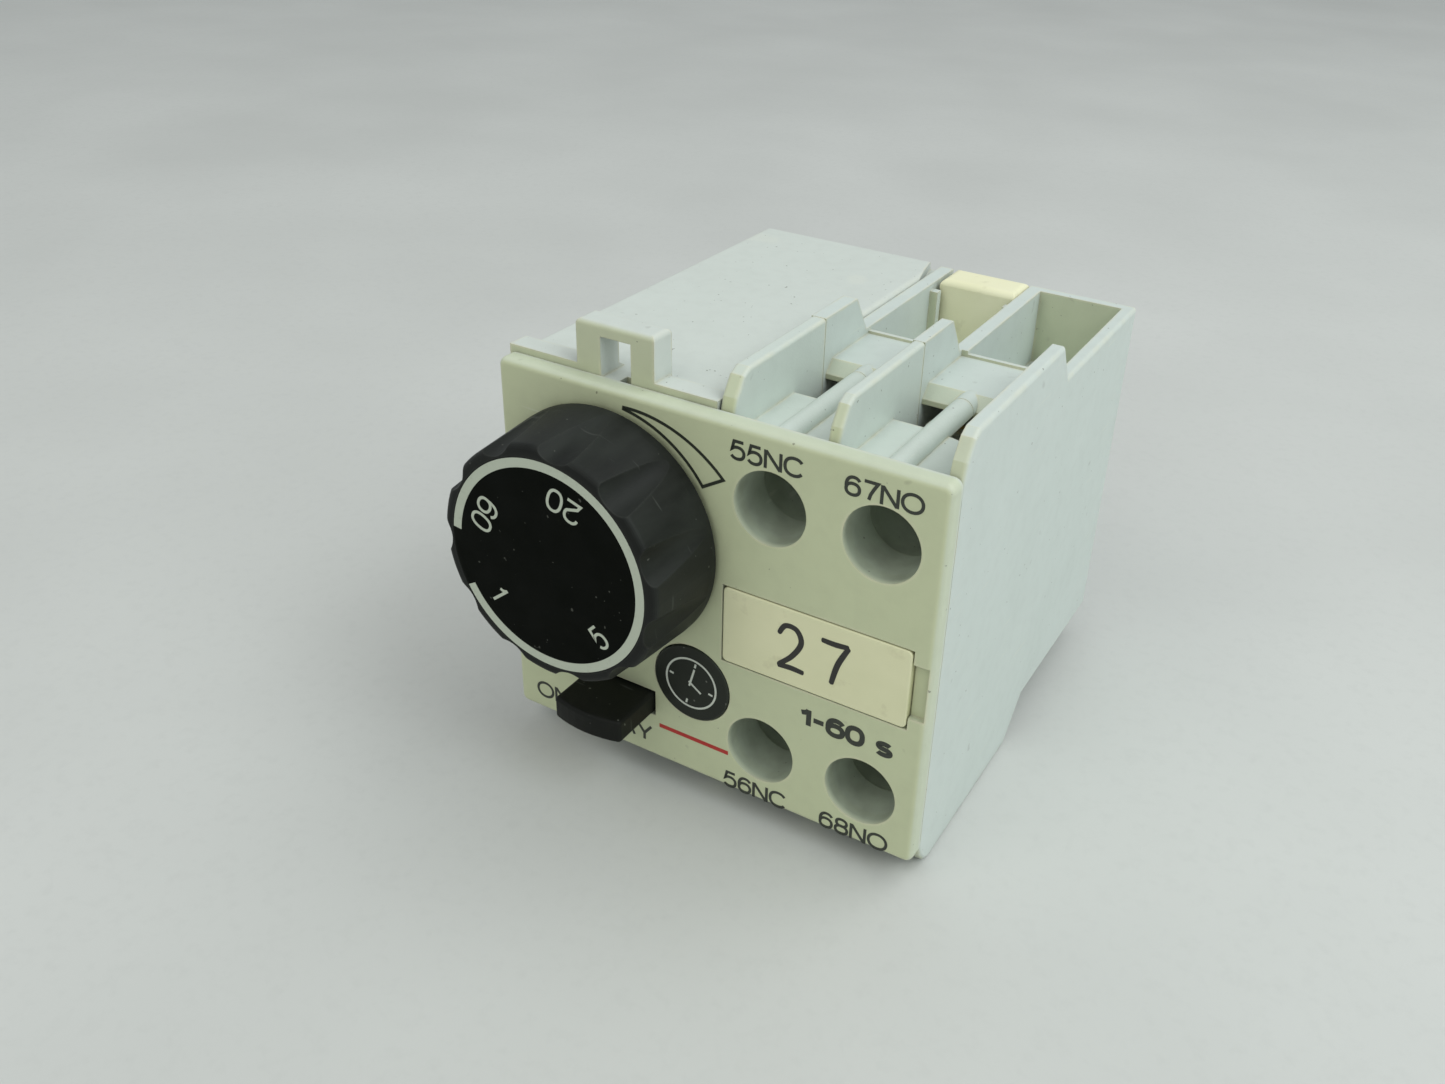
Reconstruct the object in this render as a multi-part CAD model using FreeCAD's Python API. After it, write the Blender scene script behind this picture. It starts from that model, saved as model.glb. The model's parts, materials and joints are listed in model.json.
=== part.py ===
import FreeCAD, Part
import math
import os

# Clip-on pneumatic on-delay timer block, 45 mm wide, for the front of a contactor.
# Millimetres. +X right, +Z up, -Y towards the person who reads the dial.
# Origin: centre of the rear mounting face, level with the middle of the front plate.
# A depth "d" is counted from the plate's front face towards the rear, so Y = d - DEPTH.

# ---- driving dimensions ------------------------------------------------------------
WIDTH = 45.0              # module width
DEPTH = 49.0              # plate front to rear mounting face
PLATE_HEIGHT = 39.0
PLATE_THICK = 1.8
PLATE_EDGE_R = 0.6
PLATE_CORNER_R = 0.8
BLOCK_TOP = 22.8          # contact block, upper edge of its walls
BLOCK_BOTTOM = -22.2
REAR_TOP = 18.9           # lower rear part of the contact block
REAR_BOTTOM = -18.2
TIMER_TOP = 19.3
HALF = WIDTH / 2
GAP = 0.05                # play between neighbouring mouldings
OVERLAP = 0.2             # how far joined features of one moulding run into each other
WALL = 1.3

SEAM = 18.0               # depth where the front cover meets the contact housing
BACK = PLATE_THICK + GAP  # depth where the two housings start, just behind the plate
BLOCK_CHAMFER = 24.5      # depth where the tall walls start to slope down
BLOCK_STEP = 27.0         # depth where they reach the low rear part
BLOCK_REAR = 28.0         # rear face of the terminal chambers

# poles: X of the two terminal columns, Z of the upper and lower row
POLE_X = {"nc": 6.4, "no": 16.85}
BAY_X = {"nc": (1.6, 10.4), "no": (11.6, 21.15)}
ROW = {
    "top": {"sign": 1, "screw_z": 12.6, "deck": 17.5, "rear_deck": 18.3},
    "bottom": {"sign": -1, "screw_z": -13.4, "deck": -17.9, "rear_deck": -18.2},
}
DIVIDERS = ((GAP, 1.6), (10.4, 11.6))
REAR_WALL_X = (10.75, 12.25)   # wall between the latch bay and the rear pocket
RIGHT_WALL_X = 21.2

# terminals
WELL_R = 3.53
WELL_STEP = 5.2           # depth where the well widens
WELL_REAR_R = 3.95
SCREW_HEAD_R = 3.2
SCREW_HEAD_FRONT = 13.5
SCREW_HEAD_REAR = 15.7
SCREW_TIP = 23.0
SCREW_SHANK_R = 1.7
SADDLE_HOLE_R = 1.9
THREAD_HOLE_R = 1.75
STRIP_FRONT = 17.0
STRIP_THICK = 1.0
STRIP_HALF = 2.8
SADDLE_HALF_X = 3.6
SADDLE_HALF_Z = 3.4
SADDLE_THICK = 1.2
SLOT_FRONT = 12.4         # wire entry starts here and runs to the seam
CAVITY_HALF_X = 3.85
CAVITY_HALF_Z = 3.6
INNER_Z = 7.2             # inner face of the terminal blocks
WELL_SKIN = 0.7
GUIDE_RISE = 1.4          # the clamp's side guides end this far past the screw's axis
RIB_R = 1.1               # rounded rib over each terminal, a little left of its screw
RIB_SHIFT = -1.1
RIB_RISE = 0.9
FUNNEL_R = 16.5           # hollow curve of the wire funnel
FUNNEL_DROP = 3.3

# contact chamber
CHAMBER_Z = 9.8
CHAMBER_SKIN = 1.0
CHAMBER_REAR = 47.5
TONGUE_Z = (7.4, 8.4)
TONGUE_HALF = 2.0
PAD_R = 1.2
PAD_H = 0.4
PAD_Z = 6.2
TIP_Z = 4.9
TIP_THICK = 0.8
NC_BRIDGE = 24.2          # front face of the closed bridge
NO_BRIDGE = 37.6          # front face of the open bridge
BRIDGE_THICK = 0.8
BRIDGE_HALF_X = 1.8
BRIDGE_HALF_Z = 7.2
CLOSED_GAP = 0.02
OPEN_GAP = 2.6
CARRIER_HALF_Z = 4.0
NC_HEAD = (20.6, 32.6)    # depth of the carrier's two spring heads
NO_HEAD = (35.9, 42.4)
HEAD_SKIN = 1.0

# knob and dial
KNOB_X = -10.4
KNOB_Z = 5.8
KNOB_FRONT = -9.2
KNOB_BASE = -0.3
KNOB_BASE_R = 12.0
KNOB_FACE_R = 11.55
KNOB_RIM_R = 0.7
DIAL_R = 10.4
DIAL_THICK = 0.5
FLUTES = 11
FLUTE_R = 2.6
FLUTE_DEPTH = 0.9
FLUTE_PHASE = 181.5       # degrees, one valley, counted anticlockwise from +X seen from the front
SHAFT_R = 2.0
SHAFT_PLAY = 0.05

# pneumatic unit, on the knob's axis
REG_DISC_R = 8.0
AIR_HEAD_R = 8.8
BELLOWS_R = 7.4
BELLOWS_ROOT_R = 6.0
BELLOWS_SKIN = 0.6
BELLOWS_BOSS_R = 5.2
BELLOWS_FRONT = 9.05
BELLOWS_REAR = 20.6
BELLOWS_FOLDS = 4
PLUNGER_END = 26.4

# slide with the indicator tab
TAB_X = (-13.25, -5.6)
TAB_Z = (-14.1, -11.6)
TAB_FRONT = -6.2
BAR_X = (-12.6, -6.3)
BAR_Z = (-14.0, -11.7)
SLIDE_PLAY = 0.2
HOOK_END = 51.6
FINGER_X = (-13.2, -11.2)
FINGER_D = (26.5, 28.3)

# trip lever, pivoting on an upright pin between the two chambers
PIVOT = (-2.9, 29.0)
NOSE_LEFT = (-9.4, 27.8)
NOSE_RIGHT = (4.4, 30.25)
NOSE_R = 1.2
LEVER_HALF_Z = 1.2
PIN_R = 1.0

# marker plate and emblem
LABEL_X = (2.1, 20.6)
LABEL_Z = (-4.55, 3.45)
RECESS_MARGIN = 0.12
RECESS_DEPTH = 0.8
LABEL_THICK = 0.9
NOTCH_X = 22.15
NOTCH_Z = (-3.4, 2.2)
EMBLEM = (-1.21, -8.61)
EMBLEM_R = 4.1
EMBLEM_RECESS = 0.4
EMBLEM_THICK = 0.55

# rear face: hooks and the key that locates the two housings
HOOK_STEM = (-13.4, -12.0)
HOOK_LIP = (-15.2, -12.0)
HOOK_GAP = 2.1
HOOK_REACH = 3.2
KEY_X = -2.0
KEY_HALF_Z = 2.5
KEY_DEPTH = 46.0

# seal loop on the timer housing
LOOP_X = (-14.8, -6.5)
LOOP_TOP = 24.4
LOOP_DEPTH = 4.6
WINDOW_X = (-12.2, -8.95)
WINDOW_TOP = 23.2
RIDGE_TOP = 20.15

# release latch
LATCH_X = (2.0, 10.7)
LATCH_D = (44.25, 47.6)
LATCH_CAP_D = (44.25, 48.9)
LATCH_CAP_Z = (18.1, 19.2)
LATCH_CAP_R = 0.8
LATCH_FOOT = 7.0
LATCH_WELL_FLOOR = 2.5

V = FreeCAD.Vector
AXIS_X = V(1, 0, 0)
AXIS_Y = V(0, 1, 0)
AXIS_Z = V(0, 0, 1)


# ---- building blocks ---------------------------------------------------------------
def block(x, d, z):
    """Box from pairs of X, depth and Z limits given in either order."""
    x0, x1 = sorted(x)
    d0, d1 = sorted(d)
    z0, z1 = sorted(z)
    return Part.makeBox(x1 - x0, d1 - d0, z1 - z0, V(x0, d0 - DEPTH, z0))


def rod(x, z, radius, d0, d1):
    """Cylinder along the depth."""
    return Part.makeCylinder(radius, d1 - d0, V(x, d0 - DEPTH, z), AXIS_Y)


def ring(x, z, outer, inner, d0, d1):
    return rod(x, z, outer, d0, d1).cut(rod(x, z, inner, d0 - 1, d1 + 1))


def post(x, d, radius, z0, z1):
    """Cylinder along Z."""
    return Part.makeCylinder(radius, z1 - z0, V(x, d - DEPTH, z0), AXIS_Z)


def side_shape(points, x):
    """Closed outline of (depth, Z) points, extruded between two X values."""
    x0, x1 = sorted(x)
    corners = [V(x0, d - DEPTH, z) for d, z in points]
    return Part.Face(Part.makePolygon(corners + corners[:1])).extrude(V(x1 - x0, 0, 0))


def plan_shape(points, z):
    """Closed outline of (X, depth) points, extruded between two Z values."""
    z0, z1 = sorted(z)
    corners = [V(x, d - DEPTH, z0) for x, d in points]
    return Part.Face(Part.makePolygon(corners + corners[:1])).extrude(V(0, 0, z1 - z0))


def turned(x, z, points):
    """Solid of revolution about an axis along the depth, from (radius, depth) points."""
    corners = [V(x + r, d - DEPTH, z) for r, d in points]
    face = Part.Face(Part.makePolygon(corners + corners[:1]))
    return face.revolve(V(x, 0, z), AXIS_Y, 360)


def joined(shapes):
    return shapes[0].multiFuse(shapes[1:]).removeSplitter()


def rounded(shape, radius, wanted):
    """Fillet the edges whose middle point passes the test."""
    edges = []
    for edge in shape.Edges:
        middle = edge.valueAt((edge.FirstParameter + edge.LastParameter) / 2)
        if wanted(edge, middle):
            edges.append(edge)
    return shape.makeFillet(radius, edges)


def runs_along(edge, axis):
    """True for a straight edge parallel to an axis."""
    if edge.Curve.TypeId != "Part::GeomLine":
        return False
    return abs(edge.tangentAt(edge.FirstParameter).dot(axis)) > 0.999


def near(a, b):
    return abs(a - b) < 0.01


def coil(radius, wire_r, length, turns):
    """Round-wire compression spring of a given length, standing on the origin along +Z."""
    height = length - 2 * wire_r
    helix = Part.makeHelix(height / turns, height, radius)
    section = Part.Wire([Part.makeCircle(wire_r, V(radius, 0, 0), AXIS_Y)])
    spring = Part.Wire(helix).makePipeShell([section], True, True)
    spring.translate(V(0, 0, wire_r))
    return spring


def coil_along_depth(x, z, radius, wire_r, d0, d1, turns):
    spring = coil(radius, wire_r, d1 - d0, turns)
    spring.rotate(V(0, 0, 0), AXIS_X, -90)
    spring.translate(V(x, d0 - DEPTH, z))
    return spring


def block_outline(d_start, top_end=DEPTH):
    """Outline of the contact block's side wall from one depth to another."""
    top = [(d_start, BLOCK_TOP), (BLOCK_CHAMFER, BLOCK_TOP), (BLOCK_STEP, REAR_TOP), (top_end, REAR_TOP)]
    bottom = [(top_end, REAR_BOTTOM), (BLOCK_REAR, REAR_BOTTOM)]
    bottom += [(BLOCK_CHAMFER - 0.5, BLOCK_BOTTOM), (d_start, BLOCK_BOTTOM)]
    return top + bottom


def front_outline(d_end):
    """Outline of a divider between the plate and the seam, with its raked front corners."""
    rake = ((0.0, 4.0), (0.5, 2.2), (1.6, 0.5), (2.6, 0.0))
    top = [(BACK + step, BLOCK_TOP - drop) for step, drop in rake]
    bottom = [(BACK + step, BLOCK_BOTTOM + drop) for step, drop in reversed(rake)]
    return top + [(d_end, BLOCK_TOP), (d_end, BLOCK_BOTTOM)] + bottom


# ---- mouldings ---------------------------------------------------------------------
def plate_blank():
    blank = block((-HALF, HALF), (0, PLATE_THICK), (-PLATE_HEIGHT / 2, PLATE_HEIGHT / 2))
    blank = rounded(blank, PLATE_CORNER_R, lambda edge, mid: runs_along(edge, AXIS_Y))
    return rounded(blank, PLATE_EDGE_R, lambda edge, mid: near(mid.y, -DEPTH))


def screw_well(pole, row):
    """The tool's way to one screw: it widens a little behind the plate."""
    x = POLE_X[pole]
    z = ROW[row]["screw_z"]
    mouth = rod(x, z, WELL_R, -1, WELL_STEP + OVERLAP)
    return mouth.fuse(rod(x, z, WELL_REAR_R, WELL_STEP, SLOT_FRONT + 0.5))


def cover_divider(x):
    """Insulating wall between the plate and the seam, open in the middle for the contacts."""
    wall = side_shape(front_outline(SEAM), x)
    wall = rounded(wall, 0.35, lambda edge, mid: mid.y > BACK - DEPTH + 0.1 and mid.y < SEAM - DEPTH - 0.1
                   and abs(mid.z) > INNER_Z and not runs_along(edge, AXIS_X))
    return wall.cut(block(x, (PLATE_THICK + 4, SEAM + 1), (-INNER_Z, INNER_Z)))


def terminal_rib(pole, row, depth):
    """Rounded rib over one terminal between two depths."""
    centre = POLE_X[pole] + RIB_SHIFT
    sign = ROW[row]["sign"]
    deck = ROW[row]["deck"]
    axis_z = deck + sign * (RIB_RISE - RIB_R)
    width = (centre - RIB_R, centre + RIB_R)
    crown = rod(centre, axis_z, RIB_R, depth[0], depth[1])
    crown = crown.common(block(width, depth, (axis_z, axis_z + sign * 2 * RIB_R)))
    return crown.fuse(block(width, depth, (axis_z, deck - sign * 0.5)))


def terminal_block(pole, row):
    """Screw well, wire funnel and clamp cavity of one terminal."""
    left, right = BAY_X[pole]
    left = left - OVERLAP
    if right < RIGHT_WALL_X - 1:
        right = right + OVERLAP
    centre = POLE_X[pole]
    side = ROW[row]
    sign = side["sign"]
    screw_z = side["screw_z"]
    deck = side["deck"]
    front = PLATE_THICK - OVERLAP
    core = block((left, right), (front, SLOT_FRONT), (sign * INNER_Z, deck))
    # the wire funnel right of the rib falls away in a hollow curve, over the skin of the screw well
    funnel_left = centre + RIB_SHIFT + RIB_R - 0.15
    funnel_right = right + 1
    funnel_z = deck + sign * (FUNNEL_R - FUNNEL_DROP)
    funnel_start = V(funnel_left, SLOT_FRONT - DEPTH, funnel_z)
    funnel = Part.makeCylinder(FUNNEL_R, funnel_right - funnel_left, funnel_start, AXIS_X)
    reach = (PLATE_THICK + 0.7, SLOT_FRONT + 1)
    funnel = funnel.common(block((funnel_left, funnel_right), reach, (0, deck + sign * 3)))
    skin = rod(centre, screw_z, WELL_REAR_R + WELL_SKIN, front, SLOT_FRONT).common(core)
    # side guides of the clamp, behind the block
    guides = block((left, right), (SLOT_FRONT - 1, STRIP_FRONT - GAP),
                   (sign * INNER_Z, screw_z + sign * GUIDE_RISE))
    cavity_x = (centre - CAVITY_HALF_X, centre + CAVITY_HALF_X)
    cavity_z = (sign * (INNER_Z + 1.8), screw_z + sign * (CAVITY_HALF_Z + 1))
    cavity = block(cavity_x, (SLOT_FRONT, SEAM), cavity_z)
    body = core.cut(funnel).fuse(skin).fuse(guides).cut(cavity)
    return body.fuse(terminal_rib(pole, row, (front, SEAM))).cut(screw_well(pole, row))


def front_cover():
    plate = plate_blank()
    parts = []
    for pole in POLE_X:
        for row in ROW:
            plate = plate.cut(screw_well(pole, row))
            parts.append(terminal_block(pole, row))
    parts.append(plate)
    for x in DIVIDERS:
        parts.append(cover_divider(x))
    # inner wall that closes the contact chamber and carries the spring seat
    parts.append(block((1.0, 21.15), (16.6, 17.8), (-INNER_Z - 0.6, INNER_Z + 0.6)))
    # locating tongues behind the plate
    for z in (-9.0, 9.0):
        parts.append(block((-21.1, -20.1), (PLATE_THICK - OVERLAP, 6.0), (z - 3.0, z + 3.0)))
    # bearing boss for the knob shaft
    parts.append(rod(KNOB_X, KNOB_Z, 4.0, PLATE_THICK - OVERLAP, 3.0))
    cover = joined(parts)
    cover = cover.cut(rod(KNOB_X, KNOB_Z, SHAFT_R + SHAFT_PLAY, -1, 4))
    slot_x = (TAB_X[0] - SLIDE_PLAY, TAB_X[1] + SLIDE_PLAY)
    slot_z = (TAB_Z[0] - SLIDE_PLAY, TAB_Z[1] + SLIDE_PLAY)
    cover = cover.cut(block(slot_x, (-1, PLATE_THICK + 1), slot_z))
    recess_x = (LABEL_X[0] - RECESS_MARGIN, LABEL_X[1] + RECESS_MARGIN)
    recess_z = (LABEL_Z[0] - RECESS_MARGIN, LABEL_Z[1] + RECESS_MARGIN)
    cover = cover.cut(block(recess_x, (-1, RECESS_DEPTH), recess_z))
    cover = cover.cut(block((recess_x[1] - 1, NOTCH_X), (-1, RECESS_DEPTH - 0.2), NOTCH_Z))
    return cover.cut(rod(EMBLEM[0], EMBLEM[1], EMBLEM_R + 0.1, -1, EMBLEM_RECESS))


def terminal_chamber(pole, row):
    """Roof and rear wall behind one terminal, with the bevelled front edge and the rear lip."""
    left, right = BAY_X[pole]
    right = right + 0.1
    sign = ROW[row]["sign"]
    deck = ROW[row]["rear_deck"]
    thick = 1.7
    bevel = 1.2
    front = SEAM + 0.6
    roof = side_shape([(front, deck - sign * thick), (front, deck - sign * bevel), (front + bevel, deck),
                       (BLOCK_REAR, deck), (BLOCK_REAR, deck - sign * thick)], (left - 0.1, right))
    rear = block((left - 0.1, right), (BLOCK_REAR - 1, BLOCK_REAR), (sign * CHAMBER_Z, deck))
    lip = block((left - 0.1, right), (BLOCK_REAR - 0.5, BLOCK_REAR), (deck, deck + sign * 0.25))
    return [roof, rear, lip, terminal_rib(pole, row, (SEAM + GAP, front + bevel + 0.4))]


def rear_hook(x):
    """Fixed hook that grips the contactor's lower edge."""
    stem = block(x, (DEPTH - 0.5, DEPTH + HOOK_REACH), HOOK_STEM)
    return [stem, block(x, (DEPTH + HOOK_GAP, DEPTH + HOOK_REACH), HOOK_LIP)]


def contact_housing():
    seam = SEAM + GAP
    right_wall = side_shape([(BACK, -19.0)] + front_outline(seam)[:4] + block_outline(seam)[1:-1]
                            + [(4.4, BLOCK_BOTTOM), (3.4, BLOCK_BOTTOM + 0.5), (2.3, BLOCK_BOTTOM + 2.0)],
                            (RIGHT_WALL_X, HALF))
    right_wall = rounded(right_wall, 0.4, lambda edge, mid: near(mid.x, HALF) and mid.y > BACK - DEPTH + 0.1)
    left_wall = side_shape(block_outline(seam), DIVIDERS[0])
    middle = side_shape(block_outline(seam, BLOCK_REAR), DIVIDERS[1])
    middle = middle.cut(block(DIVIDERS[1], (0, DEPTH), (-CHAMBER_Z, CHAMBER_Z)))
    parts = [right_wall, left_wall, middle]
    for pole in POLE_X:
        for row in ROW:
            parts += terminal_chamber(pole, row)
    inside = (DIVIDERS[0][0], RIGHT_WALL_X + 0.1)
    for sign, outer in ((1, REAR_TOP), (-1, REAR_BOTTOM)):
        skin = (sign * CHAMBER_Z, sign * (CHAMBER_Z + CHAMBER_SKIN))
        parts.append(block(inside, (SEAM + 1.4, DEPTH), skin))
        parts.append(block(REAR_WALL_X, (BLOCK_REAR - 0.5, DEPTH), (sign * CHAMBER_Z, outer)))
        parts.append(block((12.0, inside[1]), (DEPTH - 1.2, DEPTH), (sign * CHAMBER_Z, outer)))
        # guide ribs that keep the contact carrier straight
        parts.append(block((10.6, 13.2), (29.0, 41.5), (sign * (CARRIER_HALF_Z + 0.15), sign * CHAMBER_Z)))
    parts.append(block(inside, (CHAMBER_REAR, DEPTH), (-CHAMBER_Z, CHAMBER_Z)))
    # middle bay: low rear wall behind the latch, closed rear wall underneath
    bay = (1.0, 12.0)
    parts.append(block(bay, (DEPTH - 1.0, DEPTH), (CHAMBER_Z, 16.0)))
    parts.append(block(bay, (DEPTH - 1.2, DEPTH), (-CHAMBER_Z, REAR_BOTTOM)))
    # latch well and its two guide posts
    well_top = CHAMBER_Z + CHAMBER_SKIN
    parts.append(block((1.0, 12.6), (42.6, CHAMBER_REAR + 0.5), (1.5, well_top)))
    for x in ((1.5, 2.5), (9.9, 10.9)):
        parts.append(block(x, (42.6, 43.6), (well_top - 0.5, 18.2)))
    parts += rear_hook((13.5, 17.5))
    # key that enters the timer housing and keeps the two rear faces level
    parts.append(block((KEY_X, 1.0), (KEY_DEPTH, DEPTH), (-KEY_HALF_Z, KEY_HALF_Z)))
    housing = joined(parts)
    latch_bay_x = (DIVIDERS[0][1], REAR_WALL_X[0])
    housing = housing.cut(block(latch_bay_x, (43.6, CHAMBER_REAR + 0.5), (LATCH_WELL_FLOOR, BLOCK_TOP)))
    housing = housing.cut(block((4.3, 8.7), (CHAMBER_REAR - 1, DEPTH + 1), (9.0, 14.6)))
    return housing.cut(block((0, 2), (26.6, 31.4), (-1.5, 1.5)))


def timer_housing():
    outer = block((-HALF, -GAP), (BACK, DEPTH), (REAR_BOTTOM, TIMER_TOP))
    ridge = side_shape([(BACK, TIMER_TOP - 1), (BACK, RIDGE_TOP), (4.1, RIDGE_TOP), (5.4, TIMER_TOP),
                        (5.4, TIMER_TOP - 1)], (-HALF, -GAP))
    outer = rounded(outer, 0.6, lambda edge, mid: runs_along(edge, AXIS_Y) or near(mid.y, 0))
    body = outer.fuse(ridge)
    loop = block(LOOP_X, (BACK, LOOP_DEPTH), (TIMER_TOP - 0.5, LOOP_TOP))
    loop = rounded(loop, 0.5, lambda edge, mid: mid.z > LOOP_TOP - 2 and not runs_along(edge, AXIS_Z))
    body = body.fuse(loop)
    body = body.cut(block(WINDOW_X, (0, 6), (TIMER_TOP, WINDOW_TOP)))
    body = body.cut(block((-10.4, WINDOW_X[1]), (0, 3.3), (TIMER_TOP - 2, WINDOW_TOP)))
    # bevel at the rear of the inner top edge
    corner = [(-1.4, DEPTH + 1), (1.0, DEPTH + 1), (1.0, 42.5), (0.0, 43.0)]
    bevel = plan_shape(corner, (TIMER_TOP - 1.0, TIMER_TOP + 1))
    body = body.cut(bevel)
    cavity_x = (-HALF + WALL, -GAP - WALL)
    body = body.cut(block(cavity_x, (0, DEPTH - WALL), (REAR_BOTTOM + WALL, TIMER_TOP - WALL)))
    # bearing shelves for the lever pin
    shelves = []
    for z in ((1.35, 2.9), (-2.9, -1.35)):
        shelves.append(block((-5.4, -1.0), (26.6, 31.4), z))
    # runners under the slide
    runners = []
    for x in (-12.0, -8.0):
        runners.append(block((x, x + 1.2), (9.0, 45.0), (REAR_BOTTOM + WALL - 0.3, BAR_Z[0] - GAP)))
    # seats that hold the air head
    seats = []
    for x in ((-21.5, -18.0), (-2.6, -1.0)):
        seats.append(block(x, (9.1, 10.6), (12.0, TIMER_TOP - 1)))
    seats.append(block((-21.5, -18.6), (9.1, 10.6), (-6.0, 2.0)))
    body = joined([body] + shelves + runners + seats + rear_hook((-18.0, -14.0)))
    body = body.cut(post(PIVOT[0], PIVOT[1], PIN_R + 0.02, -4, 4))
    body = body.cut(block((-2, 1), (26.8, 31.2), (-1.35, 1.35)))
    key_z = KEY_HALF_Z + GAP
    body = body.cut(block((KEY_X - GAP, 1), (KEY_DEPTH - GAP, DEPTH + 1), (-key_z, key_z)))
    slot_x = (BAR_X[0] - SLIDE_PLAY, BAR_X[1] + SLIDE_PLAY)
    body = body.cut(block(slot_x, (DEPTH - 3, DEPTH + 1), (BAR_Z[0] - SLIDE_PLAY, -9.2)))
    # breather hole behind the filter
    return body.cut(Part.makeCylinder(0.8, 3, V(-HALF - 1, 7.6 - DEPTH, -12.0), AXIS_X))


def marker_plate():
    tag = block(LABEL_X, (RECESS_DEPTH - LABEL_THICK, RECESS_DEPTH), LABEL_Z)
    tag = rounded(tag, 0.5, lambda edge, mid: runs_along(edge, AXIS_Y))
    return rounded(tag, 0.15, lambda edge, mid: near(mid.y, RECESS_DEPTH - LABEL_THICK - DEPTH))


def emblem_disc():
    disc = rod(EMBLEM[0], EMBLEM[1], EMBLEM_R, EMBLEM_RECESS - EMBLEM_THICK, EMBLEM_RECESS)
    return rounded(disc, 0.12, lambda edge, mid: near(mid.y, EMBLEM_RECESS - EMBLEM_THICK - DEPTH))


# ---- knob and pneumatic unit -------------------------------------------------------
def knob():
    rim = KNOB_RIM_R
    front = KNOB_FRONT
    arc = []
    for step in range(7):
        angle = math.radians(90 * step / 6)
        arc.append((KNOB_FACE_R - rim + rim * math.cos(angle), front + rim - rim * math.sin(angle)))
    base = [(0, KNOB_BASE), (KNOB_BASE_R - 0.3, KNOB_BASE), (KNOB_BASE_R, KNOB_BASE - 0.3)]
    body = turned(KNOB_X, KNOB_Z, base + [(KNOB_BASE_R, KNOB_BASE - 1.2)] + arc + [(0, front)])
    # each flute is a slanted round groove that fades out towards the base
    front_axis_r = KNOB_FACE_R - FLUTE_DEPTH + FLUTE_R
    base_axis_r = KNOB_BASE_R + 0.25 + FLUTE_R
    length = KNOB_BASE - front
    slant = (base_axis_r - front_axis_r) / length
    for number in range(FLUTES):
        angle = math.radians(FLUTE_PHASE + number * 360 / FLUTES)
        out = V(math.cos(angle), 0, math.sin(angle))
        overrun = 2.0
        start = V(KNOB_X, front - overrun - DEPTH, KNOB_Z) + out * (front_axis_r - slant * overrun)
        direction = V(0, 1, 0) + out * slant
        body = body.cut(Part.makeCylinder(FLUTE_R, length + 2 * overrun, start, direction))
    body = body.cut(rod(KNOB_X, KNOB_Z, DIAL_R + 0.03, front - 1, front + DIAL_THICK))
    hollow = ring(KNOB_X, KNOB_Z, 9.4, 3.6, front + 2.4, KNOB_BASE + 1)
    return body.cut(hollow).cut(shaft(GAP))


def shaft(play):
    """D-shaped shaft end that carries the knob."""
    flat = 1.4
    stem = rod(KNOB_X, KNOB_Z, SHAFT_R + play, KNOB_FRONT + 2.6 - play, 3.65)
    keep = block((KNOB_X - 3, KNOB_X + 3), (KNOB_FRONT, KNOB_BASE), (KNOB_Z - 3, KNOB_Z + flat + play))
    return stem.common(keep.fuse(rod(KNOB_X, KNOB_Z, 3, KNOB_BASE, 4)))


def dial_disc():
    return rod(KNOB_X, KNOB_Z, DIAL_R, KNOB_FRONT + 0.02, KNOB_FRONT + DIAL_THICK)


def regulating_disc():
    """Disc on the knob shaft; the arc groove in its rear face sets how fast air gets in."""
    disc = rod(KNOB_X, KNOB_Z, REG_DISC_R, 3.6, 5.6)
    groove_r = 6.2
    groove = ring(KNOB_X, KNOB_Z, groove_r + 0.3, groove_r - 0.3, 5.2, 5.7)
    land = block((KNOB_X - 0.4, KNOB_X + 9), (5, 6), (KNOB_Z - 1.5, KNOB_Z + 1.5))
    return disc.cut(groove.cut(land)).fuse(shaft(0))


def friction_washer():
    return ring(KNOB_X, KNOB_Z, 5.0, SHAFT_R + 0.1, 3.05, 3.55)


def metering_gasket():
    gasket = ring(KNOB_X, KNOB_Z, REG_DISC_R, 1.2, 5.65, 6.15)
    return gasket.cut(rod(KNOB_X + 6.2, KNOB_Z, 0.5, 5, 7))


def air_head():
    head = rod(KNOB_X, KNOB_Z, AIR_HEAD_R, 6.2, 9.0)
    foot = block((KNOB_X - 8.0, KNOB_X + 4.0), (6.2, 9.0), (-11.4, KNOB_Z))
    boss = rod(KNOB_X, KNOB_Z, BELLOWS_BOSS_R, 9.0, 11.0)
    head = joined([head, foot, boss])
    head = head.cut(rod(KNOB_X, KNOB_Z, 0.6, 5, 12))
    head = head.cut(rod(KNOB_X + 6.2, KNOB_Z, 0.5, 5, 7.6))
    head = head.cut(rod(KNOB_X - 4.5, -7.8, 2.8, 6.0, 8.2))
    return head.cut(rod(KNOB_X - 4.5, -7.8, 0.8, 8, 10))


def filter_felt():
    return rod(KNOB_X - 4.5, -7.8, 2.75, 6.4, 8.15)


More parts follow.
